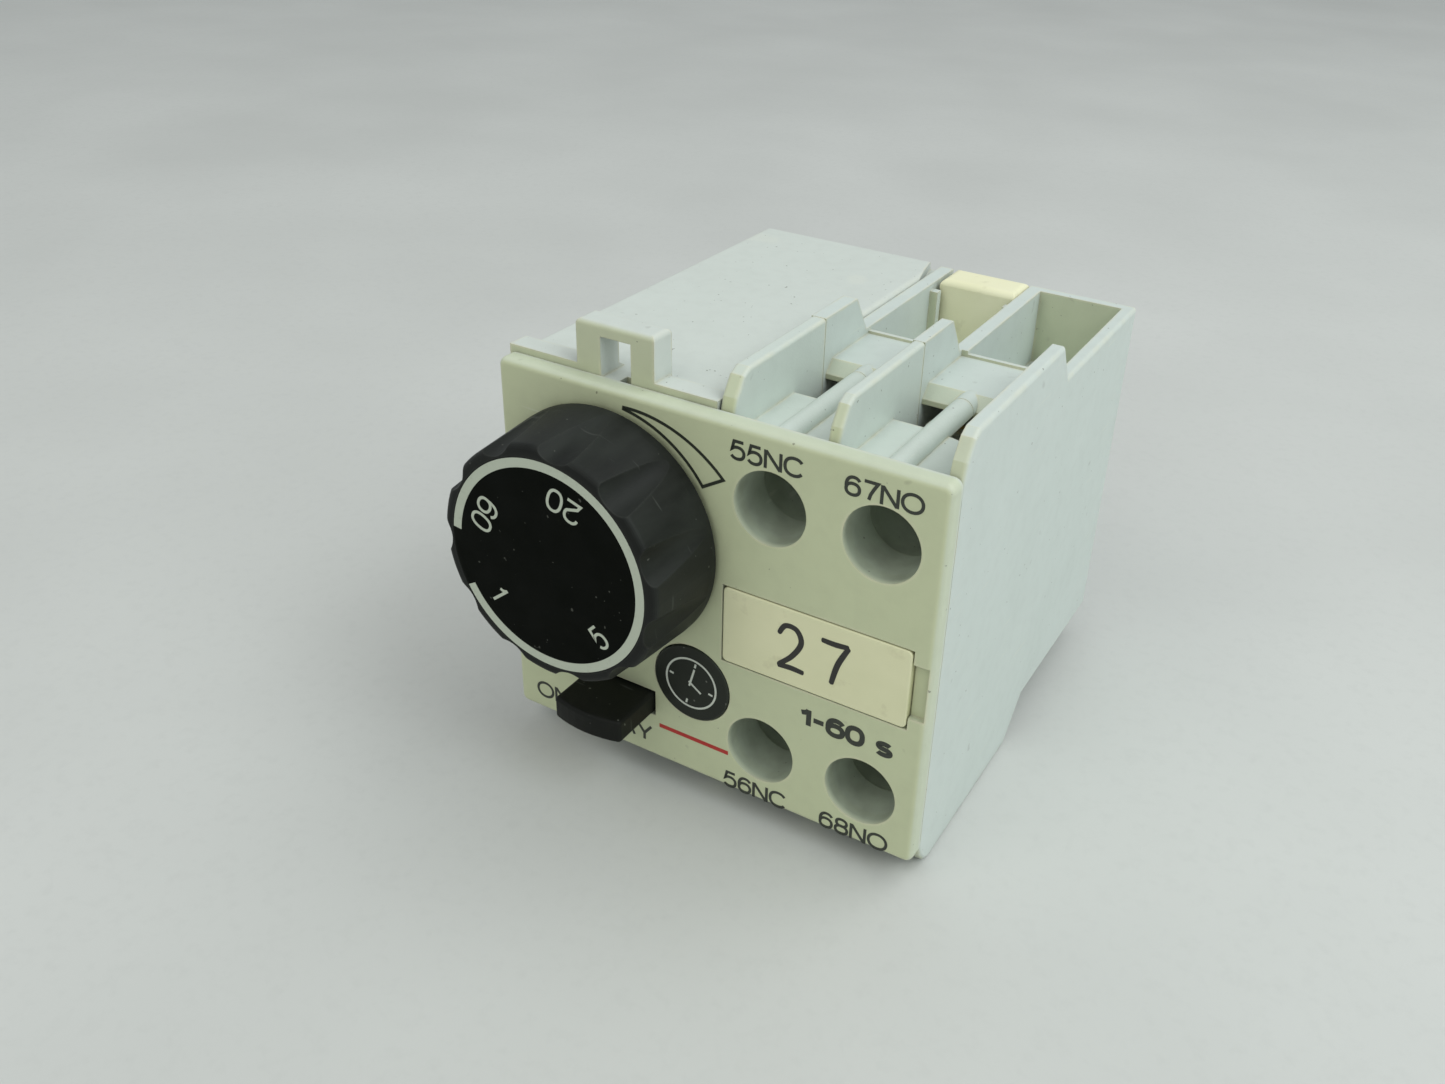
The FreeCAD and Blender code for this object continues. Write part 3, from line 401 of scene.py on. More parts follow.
def cream_plastic(name, clean, shade, dirt_and_shade):
    """Cream moulded plastic or card with light soiling and painted shade in its corners."""
    tree = Tree(name)
    cloud = tree.noise(6.0, 3.0)
    base = tree.mix(tree.span(cloud, 0.3, 0.7), clean, shade)
    # Painted shade: corners darkened towards the dirt colour by occlusion.
    soiled_and_shaded = tree.mix(tree.combine("MULTIPLY", tree.corners(0.9), 0.45), base, dirt_and_shade)
    smudge = tree.span(tree.noise(1.8, 3.0), 0.62, 0.74, 0.0, 0.22)
    tree.relief(tree.noise(0.3), 0.008)
    return tree.finish(tree.mix(smudge, soiled_and_shaded, dirt_and_shade), tree.span(cloud, 0.3, 0.7, 0.4, 0.55))


def inner_plastic(name, colour, shade):
    """Moulded working parts inside the block, with faint flow marks."""
    tree = Tree(name)
    flow = tree.noise(2.5, 3.0, (1, 5, 1))
    base = tree.mix(tree.span(flow, 0.3, 0.7), colour, shade)
    rubbed = tree.mix(tree.combine("MULTIPLY", tree.edges(0.2), 0.4), base, rgb(214, 212, 200))
    tree.relief(tree.noise(0.25, 3.0), 0.008)
    return tree.finish(rubbed, tree.span(flow, 0.3, 0.7, 0.36, 0.5))


def metal(name, bright, dull, rough):
    """Plated or bare metal with drawing lines along Z and a little tarnish."""
    tree = Tree(name, metallic=1.0)
    lines = tree.noise(0.25, 2.0, (1, 1, 12))
    base = tree.mix(tree.span(lines, 0.3, 0.7), bright, dull)
    spots = tree.span(tree.noise(1.2, 3.0), 0.58, 0.74, 0.0, 0.5)
    tree.relief(lines, 0.006, 0.06)
    return tree.finish(tree.mix(spots, base, TARNISH), tree.span(lines, 0.3, 0.7, rough - 0.08, rough + 0.12))


def rubber_skin():
    """Moulded black rubber, with chalk powder that stays in the folds."""
    tree = Tree("rubber")
    powder = tree.combine("MULTIPLY", tree.span(tree.noise(1.4, 3.0), 0.4, 0.7, 0.1, 0.8), tree.corners(1.2))
    base = tree.mix(tree.span(tree.noise(2.0), 0.3, 0.7), rgb(34, 34, 33), rgb(48, 48, 46))
    tree.relief(tree.noise(0.18, 3.0), 0.012)
    return tree.finish(tree.mix(powder, base, rgb(142, 140, 132)), 0.62)


def felt_fibre():
    """Pressed wool felt: fibres at two crossed lays and a fuzzy, uneven surface."""
    tree = Tree("felt")
    fibres = tree.combine("MAXIMUM", tree.noise(0.16, 2.0, (6, 1, 1)), tree.noise(0.16, 2.0, (1, 1, 6)))
    base = tree.mix(tree.span(fibres, 0.45, 0.75), rgb(146, 138, 118), rgb(214, 208, 190))
    tree.shader.inputs["Sheen Weight"].default_value = 0.5
    tree.relief(fibres, 0.05, 0.05)
    return tree.finish(base, 0.95)


def ink(name, colour, worn):
    """Printed or written ink, slightly uneven, with pinholes where it has worn."""
    tree = Tree(name)
    patch = tree.span(tree.noise(0.5, 3.0), 0.58, 0.78, 0.0, 0.3)
    tree.relief(tree.noise(0.2), 0.003, 0.02)
    return tree.finish(tree.mix(patch, colour, worn), tree.span(patch, 0.0, 1.0, 0.4, 0.6))


# The second colour of each housing is its front tone: partly yellowing, partly painted warm light.
COVER = housing_plastic("cover_grey", rgb(212, 221, 213), rgb(206, 212, 174), WELLS)
TIMER = housing_plastic("timer_grey", rgb(214, 220, 213), rgb(205, 210, 178))
CONTACTS = housing_plastic("contacts_grey", rgb(212, 221, 215), rgb(206, 211, 180))
LABEL = cream_plastic("label_card", rgb(238, 236, 196), rgb(230, 229, 188), rgb(170, 160, 120))
LATCH = cream_plastic("latch_cream", rgb(249, 246, 210), rgb(241, 238, 199), rgb(160, 150, 108))
KNOB = black_plastic("knob_black", rgb(14, 16, 14), rgb(51, 54, 50),
                     rough=0.5, dust=0.75, shine=0.2, flecks=0.3, streak=(1, 3, 1))
DIAL = black_plastic("dial_black", rgb(5, 8, 3), rgb(15, 19, 11),
                     rough=0.6, dust=0.5, shine=0.06, flecks=0.25)
EMBLEM = black_plastic("emblem_black", rgb(24, 28, 20), rgb(64, 70, 58), rough=0.45, dust=0.8, shine=0.3)
SLIDE = black_plastic("slide_black", rgb(8, 11, 5), rgb(36, 37, 33), rough=0.5, dust=0.5, shine=0.2)
INNER = inner_plastic("inner_grey", rgb(186, 188, 178), rgb(168, 171, 162))
INNER_WHITE = inner_plastic("inner_white", rgb(222, 221, 210), rgb(208, 207, 194))
RUBBER = rubber_skin()
FELT = felt_fibre()
SPRING = metal("spring_steel", rgb(196, 198, 200), rgb(150, 152, 154), 0.28)
ZINC = metal("plated_steel", rgb(206, 204, 194), rgb(160, 157, 146), 0.34)
BRASS = metal("contact_brass", rgb(222, 188, 112), rgb(188, 150, 84), 0.32)
BLACK_INK = ink("black_ink", rgb(48, 52, 43), rgb(96, 100, 84))
RED_INK = ink("red_ink", rgb(186, 40, 34), rgb(190, 96, 80))
WHITE_INK = ink("white_ink", rgb(188, 195, 177), rgb(158, 164, 147))
SILVER_INK = ink("silver_ink", rgb(212, 216, 204), rgb(150, 154, 142))
PEN_INK = ink("pen_ink", rgb(40, 38, 35), rgb(78, 74, 64))

FINISH = {
    "front_cover": COVER,
    "timer_housing": TIMER,
    "contact_housing": CONTACTS,
    "marker_plate": LABEL,
    "emblem_disc": EMBLEM,
    "time_knob": KNOB,
    "dial_disc": DIAL,
    "regulating_disc": INNER_WHITE,
    "friction_washer": SPRING,
    "air_head": INNER,
    "bellows_plunger": INNER_WHITE,
    "actuator_slide": SLIDE,
    "trip_lever": INNER,
    "lever_pin": ZINC,
    "contact_carrier": INNER_WHITE,
    "release_latch": LATCH,
}
for pole in POLES:
    FINISH[pole + "_bridge"] = BRASS
    for row in ROWS:
        FINISH[pole + "_strip_" + row] = BRASS
        FINISH[pole + "_clamp_" + row] = ZINC
        FINISH[pole + "_screw_" + row] = ZINC

for node, material in FINISH.items():
    cad_object = frame["nodes"][node]
    if not cad_object.material_slots:
        cad_object.data.materials.append(material)
    for slot in cad_object.material_slots:
        slot.material = material


# ---------------------------------------------------------------- mesh building

def build(name, points, faces, material, smooth=False):
    """Mesh object from points in mm, with its faces turned outward."""
    mesh = bpy.data.meshes.new(name)
    mesh.from_pydata([Vector(point) * MM for point in points], [], faces)
    shell = bmesh.new()
    shell.from_mesh(mesh)
    bmesh.ops.recalc_face_normals(shell, faces=shell.faces)
    for face in shell.faces:
        face.smooth = smooth
    shell.to_mesh(mesh)
    shell.free()
    mesh.materials.append(material)
    made = bpy.data.objects.new(name, mesh)
    bpy.context.scene.collection.objects.link(made)
    return made


def sweep(rings, closed):
    """Points and faces through a list of rings of equal length, closed up or capped at both ends."""
    count = len(rings[0])
    points = [point for ring in rings for point in ring]
    faces = []
    last = len(rings) if closed else len(rings) - 1
    for step in range(last):
        here = step * count
        there = (step + 1) % len(rings) * count
        for side in range(count):
            after = (side + 1) % count
            faces.append((here + side, here + after, there + after, there + side))
    if not closed:
        faces.append(tuple(range(count)))
        faces.append(tuple(reversed(range(last * count, last * count + count))))
    return points, faces


def turned(name, profile, x, z, material, segments):
    """Ring turned about an axis along Y, from a closed profile of (Y, radius) points."""
    rings = []
    for step in range(segments):
        angle = math.tau * step / segments
        rings.append([(x + r * math.cos(angle), y, z + r * math.sin(angle)) for y, r in profile])
    points, faces = sweep(rings, True)
    return build(name, points, faces, material, smooth=True)


def coil(node, wire_r, turns, axis):
    """Compression spring in the space of its CAD node, wound along axis 1 (Y) or 2 (Z)."""
    low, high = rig.box(node)
    centre = (low + high) / 2 / MM
    start = low[axis] / MM + wire_r
    end = high[axis] / MM - wire_r
    reach = (high.x - low.x) / 2 / MM - wire_r
    flat_turns = 0.75      # at each end, without rise
    steps = 28             # rings in one turn
    sides = 10             # points in one ring
    rings = []
    for step in range(int((turns + 2 * flat_turns) * steps) + 1):
        turn = step / steps
        angle = math.tau * turn
        share = (turn - flat_turns) / turns
        rise = start + (end - start) * min(max(share, 0.0), 1.0)
        slope = (end - start) / turns / (math.tau * reach) if 0 < share < 1 else 0.0
        out = Vector((math.cos(angle), math.sin(angle), 0.0))
        ahead = Vector((-math.sin(angle), math.cos(angle), slope)).normalized()
        side = ahead.cross(out)
        ring = []
        for corner in range(sides):
            around = math.tau * corner / sides
            spot = out * (reach + wire_r * math.cos(around)) + side * wire_r * math.sin(around)
            if axis == 1:
                ring.append((centre.x + spot.x, rise + spot.z, centre.z - spot.y))
            else:
                ring.append((centre.x + spot.x, centre.y + spot.y, rise + spot.z))
        rings.append(ring)
    points, faces = sweep(rings, False)
    spring = build(node + "_coil", points, faces, SPRING, smooth=True)
    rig.replaces(spring, node)
    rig.slot(spring, "spring_steel")
    return spring


# ---------------------------------------------------------------- strokes and lettering

def bow(centre, reach, start, end, steps=20, square=0.9):
    """Points on an ellipse from one angle in degrees to another. A square below 1 squares it off."""
    points = []
    for step in range(steps + 1):
        angle = math.radians(start + (end - start) * step / steps)
        across = math.copysign(abs(math.cos(angle)) ** square, math.cos(angle))
        up = math.copysign(abs(math.sin(angle)) ** square, math.sin(angle))
        points.append((centre[0] + reach[0] * across, centre[1] + reach[1] * up))
    return points


# Centre lines of the characters in a unit box, with the width of the box as a share of the height.
GLYPHS = {
    "0": (0.50, [bow((0.5, 0.5), (0.5, 0.5), 0, 360, 32, 0.84)]),
    "1": (0.27, [[(0.0, 0.74), (0.45, 0.79), (0.8, 0.9), (0.9, 1.0)], [(0.95, 1.03), (0.95, -0.03)]]),
    "2": (0.50, [bow((0.48, 0.70), (0.48, 0.30), 172, -38) + [(0.16, 0.22), (0.02, 0.0), (1.0, 0.0)]]),
    "5": (0.50, [[(0.92, 1.0), (0.20, 1.0)] + bow((0.48, 0.33), (0.51, 0.34), 142, -152)]),
    "6": (0.50, [bow((0.5, 0.32), (0.5, 0.32), 0, 360, 28), bow((0.54, 0.5), (0.54, 0.5), 196, 38, 24)]),
    "7": (0.50, [[(0.0, 1.0), (1.0, 1.0), (0.72, 0.64), (0.5, 0.3), (0.4, 0.0)]]),
    "8": (0.50, [bow((0.5, 0.76), (0.43, 0.24), 0, 360, 28), bow((0.5, 0.27), (0.5, 0.27), 0, 360, 28)]),
    "A": (0.62, [[(0.0, 0.0), (0.5, 1.02), (1.0, 0.0)], [(0.18, 0.33), (0.82, 0.33)]]),
    "C": (0.66, [bow((0.52, 0.5), (0.52, 0.5), 36, 324, 32)]),
    "D": (0.62, [[(0.0, 0.0), (0.0, 1.0), (0.42, 1.0)] + bow((0.42, 0.5), (0.58, 0.5), 88, -88)
                 + [(0.42, 0.0), (0.0, 0.0)]]),
    "E": (0.52, [[(1.0, 1.0), (0.0, 1.0), (0.0, 0.0), (1.0, 0.0)], [(0.0, 0.53), (0.92, 0.53)]]),
    "L": (0.46, [[(0.0, 1.03), (0.0, 0.0), (1.0, 0.0)]]),
    "N": (0.58, [[(0.0, -0.03), (0.0, 1.03)], [(0.04, 0.99), (0.96, 0.01)], [(1.0, 1.03), (1.0, -0.03)]]),
    "O": (0.74, [bow((0.5, 0.5), (0.5, 0.5), 0, 360, 36, 0.96)]),
    "Y": (0.62, [[(0.0, 1.02), (0.5, 0.42), (1.0, 1.02)], [(0.5, 0.44), (0.5, -0.03)]]),
    "s": (0.42, [bow((0.5, 0.54), (0.46, 0.17), 28, 262) + bow((0.5, 0.18), (0.5, 0.18), 78, -154)]),
    "-": (0.34, [[(0.0, 0.47), (1.0, 0.47)]]),
    " ": (0.20, []),
}
LETTER_GAP = 0.16      # gap between two boxes, as a share of the height
TOUCHING = 1e-6        # points closer than this are one
LONGEST_MITRE = 1 / 0.35


def ribbon(path, width):
    """Left and right edges of a stroke along a path, with mitred corners, and whether it is closed."""
    closed = math.dist(path[0], path[-1]) < TOUCHING
    spine = []
    for point in (path[:-1] if closed else path):
        if not spine or (Vector(point) - spine[-1]).length > TOUCHING:
            spine.append(Vector(point))
    count = len(spine)
    left = []
    right = []
    for step, here in enumerate(spine):
        before = spine[step - 1] if closed or step > 0 else None
        after = spine[(step + 1) % count] if closed or step < count - 1 else None
        arrive = (here - before).normalized() if before is not None else (after - here).normalized()
        leave = (after - here).normalized() if after is not None else arrive
        across = Vector((-arrive.y - leave.y, arrive.x + leave.x)).normalized()
        lean = across.dot(Vector((-arrive.y, arrive.x)))
        mitre = 1.0 / max(lean, 1 / LONGEST_MITRE)
        half = width(step / max(count - 1, 1)) / 2 if callable(width) else width / 2
        left.append(here + across * half * mitre)
        right.append(here - across * half * mitre)
    return left, right, closed


def print_strokes(name, strokes, width, surface, material, body):
    """Strokes laid on a surface as thin closed solids that sink into it and stand a little proud."""
    points = []
    faces = []
    for number, path in enumerate(strokes):
        left, right, closed = ribbon(path, width)
        top = INK + INK_STEP * (number % INK_LEVELS)
        rings = []
        for one, two in zip(left, right):
            rings.append([surface(one, -INK), surface(one, top), surface(two, top), surface(two, -INK)])
        more_points, more_faces = sweep(rings, closed)
        offset = len(points)
        points.extend(more_points)
        faces.extend(tuple(offset + index for index in face) for face in more_faces)
    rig.ride(build(name, points, faces, material), body)


def lettering(text, height, stroke, length):
    """Strokes of a line of text in mm, starting at the origin and fitted to a length."""
    natural = sum(GLYPHS[letter][0] for letter in text) + LETTER_GAP * (len(text) - 1)
    rise = height - stroke
    widen = (length - stroke) / natural
    strokes = []
    cursor = 0.0
    for letter in text:
        share, paths = GLYPHS[letter]
        for path in paths:
            strokes.append([
                (stroke / 2 + (cursor + u * share) * widen, stroke / 2 + v * rise) for u, v in path
            ])
        cursor += share + LETTER_GAP
    return strokes


def flat_surface(front, x, z, turn=0.0):
    """Maps (across, up) in mm and a height to a face that looks to the front, turned about (x, z)."""
    cos = math.cos(turn)
    sin = math.sin(turn)

    def place(spot, height):
        return (x + spot[0] * cos - spot[1] * sin, front - height, z + spot[0] * sin + spot[1] * cos)
    return place


def around_knob(radius, degrees):
    """Point of a front plane at a radius and angle about the knob's axis."""
    angle = math.radians(degrees)
    return (KNOB_X + radius * math.cos(angle), KNOB_Z + radius * math.sin(angle))


def shares(steps):
    """Even shares from 0 to 1."""
    return [step / steps for step in range(steps + 1)]


PLATE = flat_surface(FRONT, 0, 0)
DIAL_PLANE = flat_surface(DIAL_FRONT, 0, 0)

# Terminal numbers and the function of the block: text, left end, foot, length and height.
TEXT_STROKE = 0.29
PLATE_TEXT = {
    "mark_55NC": ("55NC", 2.40, 16.30, 7.10, 1.88),
    "mark_67NO": ("67NO", 13.20, 16.20, 7.05, 1.88),
    "mark_56NC": ("56NC", 2.50, -19.38, 7.00, 1.95),
    "mark_68NO": ("68NO", 13.00, -19.36, 7.10, 1.95),
    "mark_on_delay": ("ON DELAY", -20.24, -17.90, 14.44, 2.00),
}
for name, (text, x, z, length, height) in PLATE_TEXT.items():
    strokes = lettering(text, height, TEXT_STROKE, length)
    print_strokes(name, strokes, TEXT_STROKE, flat_surface(FRONT, x, z), BLACK_INK, "base")

# Time range in bold.
RANGE_STROKE = 0.5
range_strokes = lettering("1-60 s", 2.15, RANGE_STROKE, 9.4)
print_strokes("mark_range", range_strokes, RANGE_STROKE, flat_surface(FRONT, 10.3, -8.5), BLACK_INK, "base")

# Wedge beside the knob that widens with the delay: out along its outer edge and back along the inner one.
WEDGE_INNER = 12.3
WEDGE_TIP = 0.16
WEDGE_WIDE = 2.27      # added to the tip's width at the wide end
WEDGE_START = 81.0
WEDGE_OUTER_END = 33.9
WEDGE_INNER_END = 34.4
wedge = []
for share in shares(24):
    degrees = WEDGE_START + (WEDGE_OUTER_END - WEDGE_START) * share
    wedge.append(around_knob(WEDGE_INNER + WEDGE_TIP + WEDGE_WIDE * share, degrees))
for share in shares(24):
    degrees = WEDGE_INNER_END + (WEDGE_START - WEDGE_INNER_END) * share
    wedge.append(around_knob(WEDGE_INNER, degrees))
wedge.append(wedge[0])
print_strokes("mark_wedge", [wedge], 0.3, PLATE, BLACK_INK, "base")

RED_LINE = [(-4.94, -15.3), (2.95, -15.3)]
print_strokes("mark_red_line", [RED_LINE], 0.45, PLATE, RED_INK, "base")

# Scale ring of the dial, open between 60 and 1.
RING_INNER = 9.48
RING_OUTER = 10.36
RING_START = 174.8
RING_SWEEP = 326.9
ring_middle = (RING_INNER + RING_OUTER) / 2
ring_path = [around_knob(ring_middle, RING_START - RING_SWEEP * share) for share in shares(96)]
print_strokes("dial_ring", [ring_path], RING_OUTER - RING_INNER, DIAL_PLANE, WHITE_INK, "knob")

# Numbers of the dial: text, radius and angle of its middle, and length.
DIGIT_HEIGHT = 2.35
DIGIT_STROKE = 0.28
DIAL_NUMBERS = {
    "dial_60": ("60", 7.34, 153.5, 3.5),
    "dial_20": ("20", 7.17, 71.8, 3.55),
    "dial_5": ("5", 7.60, -43.7, 1.4),
    "dial_1": ("1", 7.20, -140.8, 0.85),
}
for name, (text, radius, degrees, length) in DIAL_NUMBERS.items():
    strokes = lettering(text, DIGIT_HEIGHT, DIGIT_STROKE, length)
    centred = [[(u - length / 2, v - DIGIT_HEIGHT / 2) for u, v in path] for path in strokes]
    spot_x, spot_z = around_knob(radius, degrees)
    tilted = flat_surface(DIAL_FRONT, spot_x, spot_z, math.radians(degrees + 90))
    print_strokes(name, centred, DIGIT_STROKE, tilted, WHITE_INK, "knob")

# Generic clock pictogram on the round disc: rim, four hour marks and two hands.
CLOCK_R = 2.75
MARK_INNER = CLOCK_R - 0.75
MARK_OUTER = CLOCK_R - 0.3
CLOCK_TURN = math.radians(-12)
clock = [bow((0, 0), (CLOCK_R, CLOCK_R), 0, 360, 48, 1.0)]
for quarter in range(4):
    across = math.cos(math.tau * quarter / 4)
    up = math.sin(math.tau * quarter / 4)
    clock.append([(MARK_INNER * across, MARK_INNER * up), (MARK_OUTER * across, MARK_OUTER * up)])
clock.append([(-0.12, -0.35), (0.0, 1.75)])
clock.append([(-0.3, 0.12), (1.25, -0.55)])
emblem_plane = flat_surface(EMBLEM_FRONT, EMBLEM_X, EMBLEM_Z, CLOCK_TURN)
print_strokes("emblem_clock", clock, 0.2, emblem_plane, SILVER_INK, "base")


def pen_path(corners, steps=14):
    """Smooth (Catmull-Rom) path through the corner points of a pen stroke."""
    padded = [corners[0]] + list(corners) + [corners[-1]]
    path = []
    for index in range(len(corners) - 1):
        before, first, second, after = [Vector(point) for point in padded[index:index + 4]]
        pull = second - before
        bend = 2 * before - 5 * first + 4 * second - after
        twist = 3 * first - before - 3 * second + after
        for step in range(steps):
            t = step / steps
            spot = (2 * first + pull * t + bend * t ** 2 + twist * t ** 3) / 2
            path.append((spot.x, spot.y))
    path.append(tuple(corners[-1]))
    return path


PEN_STROKE = 0.5
PEN_END = 0.06         # share of a stroke over which its end is rounded


def pen_width(share):
    """Felt-pen line, rounded off at both ends and pressed a little harder in the middle."""
    ends = min(share, 1 - share) / PEN_END
    rounding = math.sqrt(max(1 - max(1 - ends, 0) ** 2, 0.04))
    pressure = 0.9 + 0.2 * math.sin(math.pi * share)
    return PEN_STROKE * rounding * pressure


# Position number written on the marker plate: the strokes of each figure in a unit box.
FIGURE_HEIGHT = 4.4
FIGURE_WIDTH = 2.7
FIGURE_PITCH = 4.2
FIGURES = [
    [
        [(0.0, 0.76), (0.24, 1.0), (0.66, 0.98), (0.84, 0.70), (0.52, 0.32), (0.0, 0.0)],
        [(0.0, 0.0), (0.5, 0.03), (1.0, 0.01)],
    ],
    [
        [(0.0, 0.98), (0.5, 0.97), (1.0, 1.0)],
        [(1.0, 1.0), (0.64, 0.52), (0.44, 0.0)],
    ],
]
number_strokes = []
for place, figure in enumerate(FIGURES):
    for corners in figure:
        spots = [(place * FIGURE_PITCH + u * FIGURE_WIDTH, v * FIGURE_HEIGHT) for u, v in corners]
        number_strokes.append(pen_path(spots))
number_x = LABEL_X - (FIGURE_PITCH + FIGURE_WIDTH) / 2
number_plane = flat_surface(LABEL_FRONT, number_x, LABEL_Z - FIGURE_HEIGHT / 2)
print_strokes("label_number", number_strokes, pen_width, number_plane, PEN_INK, "base")


# ---------------------------------------------------------------- soft parts and springs

def node_axis(node):
    """Centre X and Z, front Y and rear Y of a CAD node in mm."""
    low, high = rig.box(node)
    centre = (low + high) / 2 / MM
    return centre.x, centre.z, low.y / MM, high.y / MM


def node_ends(node, axis):
    """Middles of a CAD node's low and high ends along axis 1 (Y) or 2 (Z), in metres."""
    low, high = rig.box(node)
    start = (low + high) / 2
    end = start.copy()
    start[axis] = low[axis]
    end[axis] = high[axis]
    return start, end


def make_bellows():
    """Four rounded folds between a collar at the head and one at the plunger."""
    x, z, front, rear = node_axis("bellows")
    skin = 0.55
    collar_r = 6.0
    fold_r = 7.4
    collar = 2.4           # length of each collar
    chamfer = 0.25
    gap = 0.02             # between each end face and the part it sits on
    folds = 4
    outer = [(front + gap, collar_r - chamfer), (front + chamfer, collar_r)]
    inner = [(front + gap, collar_r - skin)]
    for share in shares(80):
        y = front + collar + (rear - front - 2 * collar) * share
        wave = (1 - math.cos(math.tau * folds * share)) / 2
        outer.append((y, collar_r + (fold_r - collar_r) * wave ** 0.8))
        inner.append((y, collar_r - skin + (fold_r - collar_r) * wave ** 1.2))
    outer += [(rear - chamfer, collar_r), (rear - gap, collar_r - chamfer)]
    inner.append((rear - gap, collar_r - skin))
    bellows = turned("bellows_rubber", outer + inner[::-1], x, z, RUBBER, 96)
    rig.replaces(bellows, "bellows")
    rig.slot(bellows, "rubber")
    fold_start = Vector((x, front + collar, z)) * MM
    fold_end = Vector((x, rear - collar, z)) * MM
    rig.blend(bellows, "base", "plunger", fold_start, fold_end)


def make_gasket():
    """Flat ring gasket with rounded rims and low sealing beads on its rear face."""
    x, z, front, rear = node_axis("metering_gasket")
    inner_r = 1.25
    outer_r = 7.95
    rounding = 0.04
    bead = 0.06
    thick = rear - front
    profile = []
    for share in shares(8):
        angle = math.radians(-90 + 180 * share)
        profile.append((front + thick / 2 * (1 + math.sin(angle)), outer_r + rounding * math.cos(angle)))
    for share in shares(24):
        rise = bead * math.sin(math.tau * 3 * share) ** 2
        profile.append((rear - bead + rise, outer_r - (outer_r - inner_r) * share))
    for share in shares(8):
        angle = math.radians(90 - 180 * share)
        profile.append((front + thick / 2 * (1 + math.sin(angle)), inner_r - rounding * math.cos(angle)))
    gasket = turned("metering_gasket_rubber", profile, x, z, RUBBER, 96)
    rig.replaces(gasket, "metering_gasket")
    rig.slot(gasket, "rubber")
    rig.ride(gasket, "base")


def make_felt():
    """Pressed felt disc with a rounded rim and uneven faces, drawn in a little from its CAD node."""
    x, z, front, rear = node_axis("filter_felt")
    radius = 2.7
    rounding = 0.3
    pinhole = 0.05         # radius left open at the middle of each face
    thick = rear - front
    face_radii = [radius * step / 14 for step in range(1, 12)]
    profile = [(front, pinhole)] + [(front, face_r) for face_r in face_radii]
    for share in shares(16):
        angle = math.radians(-90 + 180 * share)
        rim_r = radius - rounding + rounding * math.cos(angle)
        profile.append((front + thick / 2 * (1 + math.sin(angle)), rim_r))
    profile += [(rear, face_r) for face_r in reversed(face_radii)] + [(rear, pinhole)]
    felt = turned("filter_felt_wool", profile, x, z, FELT, 80)
    heart = Vector((x, (front + rear) / 2, z))
    for vertex in felt.data.vertices:
        spot = vertex.co / MM
        lumps = noise.noise(spot * 3.0) * 0.06 + noise.noise(spot * 9.0) * 0.04
        vertex.co += (heart - spot).normalized() * (0.05 + lumps) * MM
    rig.replaces(felt, "filter_felt")
    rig.slot(felt, "felt")
    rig.ride(felt, "base")


make_bellows()
make_gasket()
make_felt()

# Springs between two bodies: wire radius, turns, front body and rear body.
ALONG_Y = 1
ALONG_Z = 2
SLIDING_COILS = {
    "bellows_spring": (0.35, 4, "base", "plunger"),
    "slide_return_spring": (0.3, 9, "slide", "base"),
    "carrier_return_spring": (0.25, 6, "base", "carrier"),
}
for node, (wire_r, turns, front_body, rear_body) in SLIDING_COILS.items():
    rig.blend(coil(node, wire_r, turns, ALONG_Y), front_body, rear_body, *node_ends(node, ALONG_Y))
for pole in POLES:
    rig.ride(coil(pole + "_bridge_spring", 0.2, 4, ALONG_Y), "carrier")
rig.blend(coil("latch_spring", 0.25, 4, ALONG_Z), "base", "latch", *node_ends("latch_spring", ALONG_Z))


# ---------------------------------------------------------------- floor, light and camera

def floor_surface():
    """Pale matt table top with faint mottling."""
    tree = Tree("floor")
    cloud = tree.noise(60.0, 3.0)
    base = tree.mix(tree.span(cloud, 0.3, 0.7), rgb(206, 207, 203), rgb(214, 215, 211))
    fine = tree.span(tree.noise(1.2, 3.0), 0.5, 0.8, 0.0, 0.25)
    tree.relief(tree.noise(0.8), 0.01)
    return tree.finish(tree.mix(fine, base, rgb(196, 197, 193)), 0.7)


FLOOR_HALF = 1500.0
floor_points = [
    (-FLOOR_HALF, -FLOOR_HALF, FLOOR_Z),
    (FLOOR_HALF, -FLOOR_HALF, FLOOR_Z),
    (FLOOR_HALF, FLOOR_HALF, FLOOR_Z),
    (-FLOOR_HALF, FLOOR_HALF, FLOOR_Z),
]
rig.stage(build("floor", floor_points, [(0, 1, 2, 3)], floor_surface()))

scene = bpy.context.scene
scene.view_settings.view_transform = "Standard"

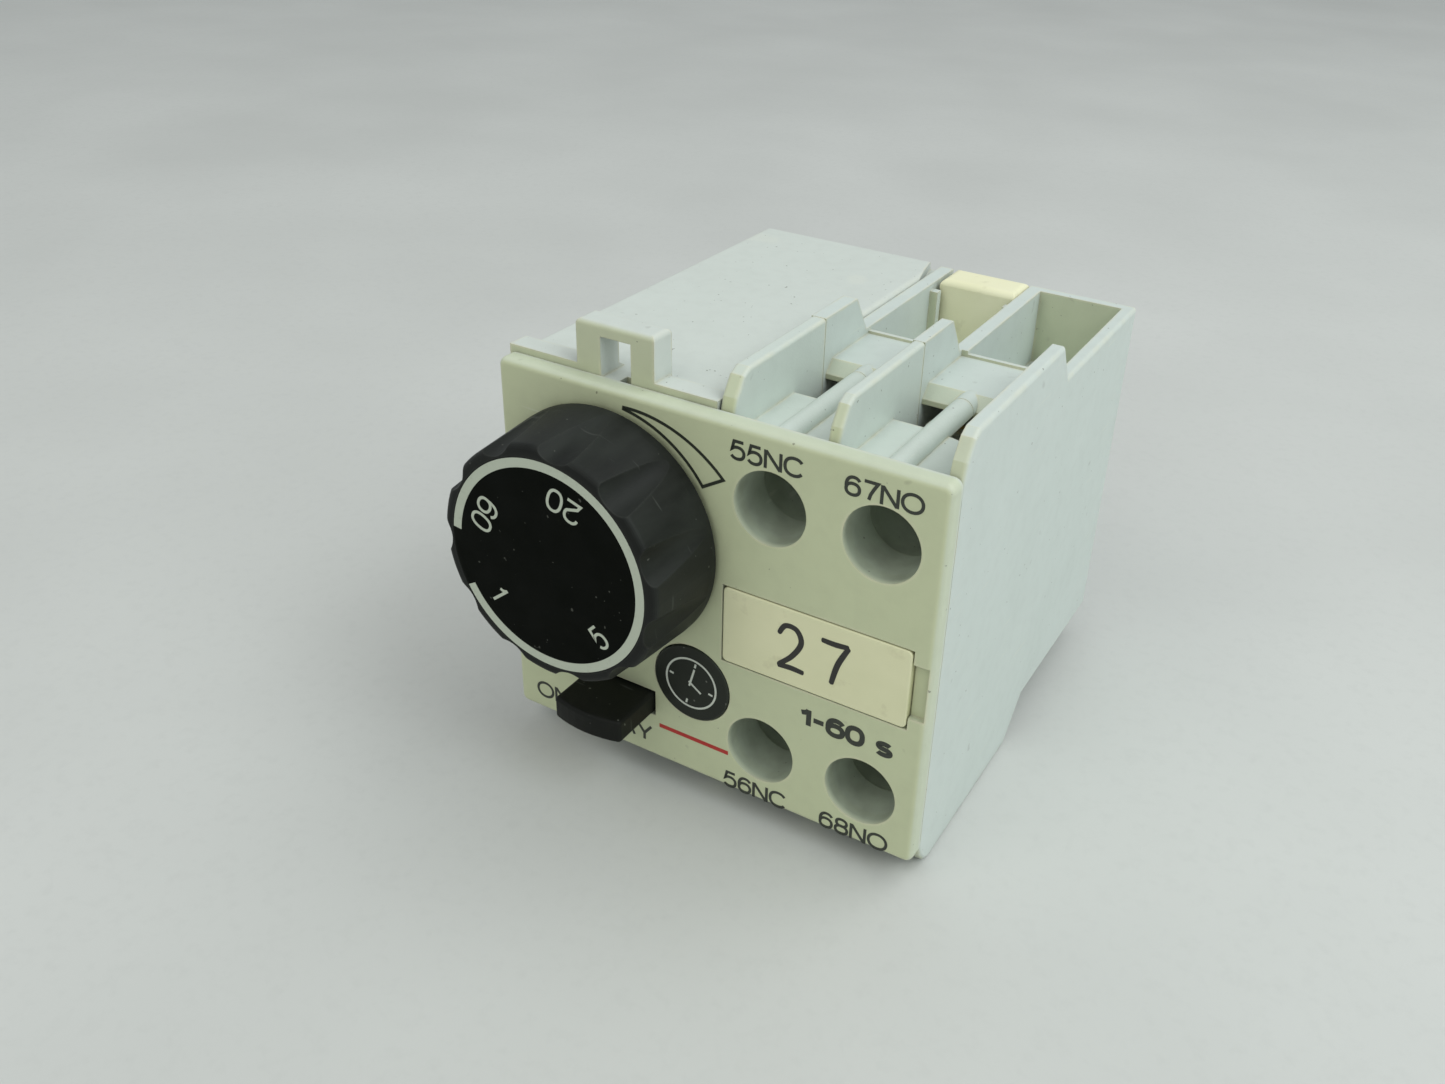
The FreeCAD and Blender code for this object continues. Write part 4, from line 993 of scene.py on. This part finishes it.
world = bpy.data.worlds.new("studio")
world.use_nodes = True
sky = world.node_tree.nodes["Background"]
sky.inputs["Color"].default_value = (0.93, 0.98, 1.0, 1.0)
sky.inputs["Strength"].default_value = 0.5
scene.world = world


BLOCK_MIDDLE = (0, -25, 0)


def soft_light(name, place, size, power, colour):
    """Round soft light of a size in mm at a place in mm, aimed at the middle of the block."""
    lamp = bpy.data.lights.new(name, "AREA")
    lamp.shape = "DISK"
    lamp.size = size * MM
    lamp.energy = power
    lamp.color = colour
    made = bpy.data.objects.new(name, lamp)
    scene.collection.objects.link(made)
    made.location = Vector(place) * MM
    made.rotation_euler = (Vector(BLOCK_MIDDLE) - Vector(place)).to_track_quat("-Z", "Y").to_euler()


soft_light("key", (250, 200, 600), 420, 0.85, (0.97, 1.0, 0.99))
soft_light("front_fill", (-120, -425, 500), 450, 0.68, (1.0, 0.99, 0.93))
soft_light("right_fill", (450, -100, 470), 400, 1.4, (0.93, 1.0, 1.0))

# Camera at the photograph's viewing angle: place in mm, turns in degrees, focal length in mm, lens shift.
CAMERA_PLACE = (52.343, -131.751, 66.298)
CAMERA_YAW = 28.854
CAMERA_PITCH = -29.073
CAMERA_ROLL = 2.387
FOCAL_LENGTH = 32.279
SHIFT_X = -0.03525
SHIFT_Y = -0.03014
lens = bpy.data.cameras.new("camera")
lens.sensor_width = 36.0
lens.lens = FOCAL_LENGTH
lens.shift_x = SHIFT_X
lens.shift_y = SHIFT_Y
lens.clip_start = 0.01
lens.clip_end = 20.0
camera = bpy.data.objects.new("camera", lens)
scene.collection.objects.link(camera)
turn = (
    Matrix.Rotation(math.radians(CAMERA_YAW), 4, "Z")
    @ Matrix.Rotation(math.radians(90 + CAMERA_PITCH), 4, "X")
    @ Matrix.Rotation(math.radians(CAMERA_ROLL), 4, "Z")
)
camera.matrix_world = Matrix.Translation(Vector(CAMERA_PLACE) * MM) @ turn
scene.camera = camera

seen_low, seen_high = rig.bounds()
with open("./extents.json", "w") as size_file:
    json.dump({"cad": [list(cad_low), list(cad_high)], "visual": [list(seen_low), list(seen_high)]}, size_file)
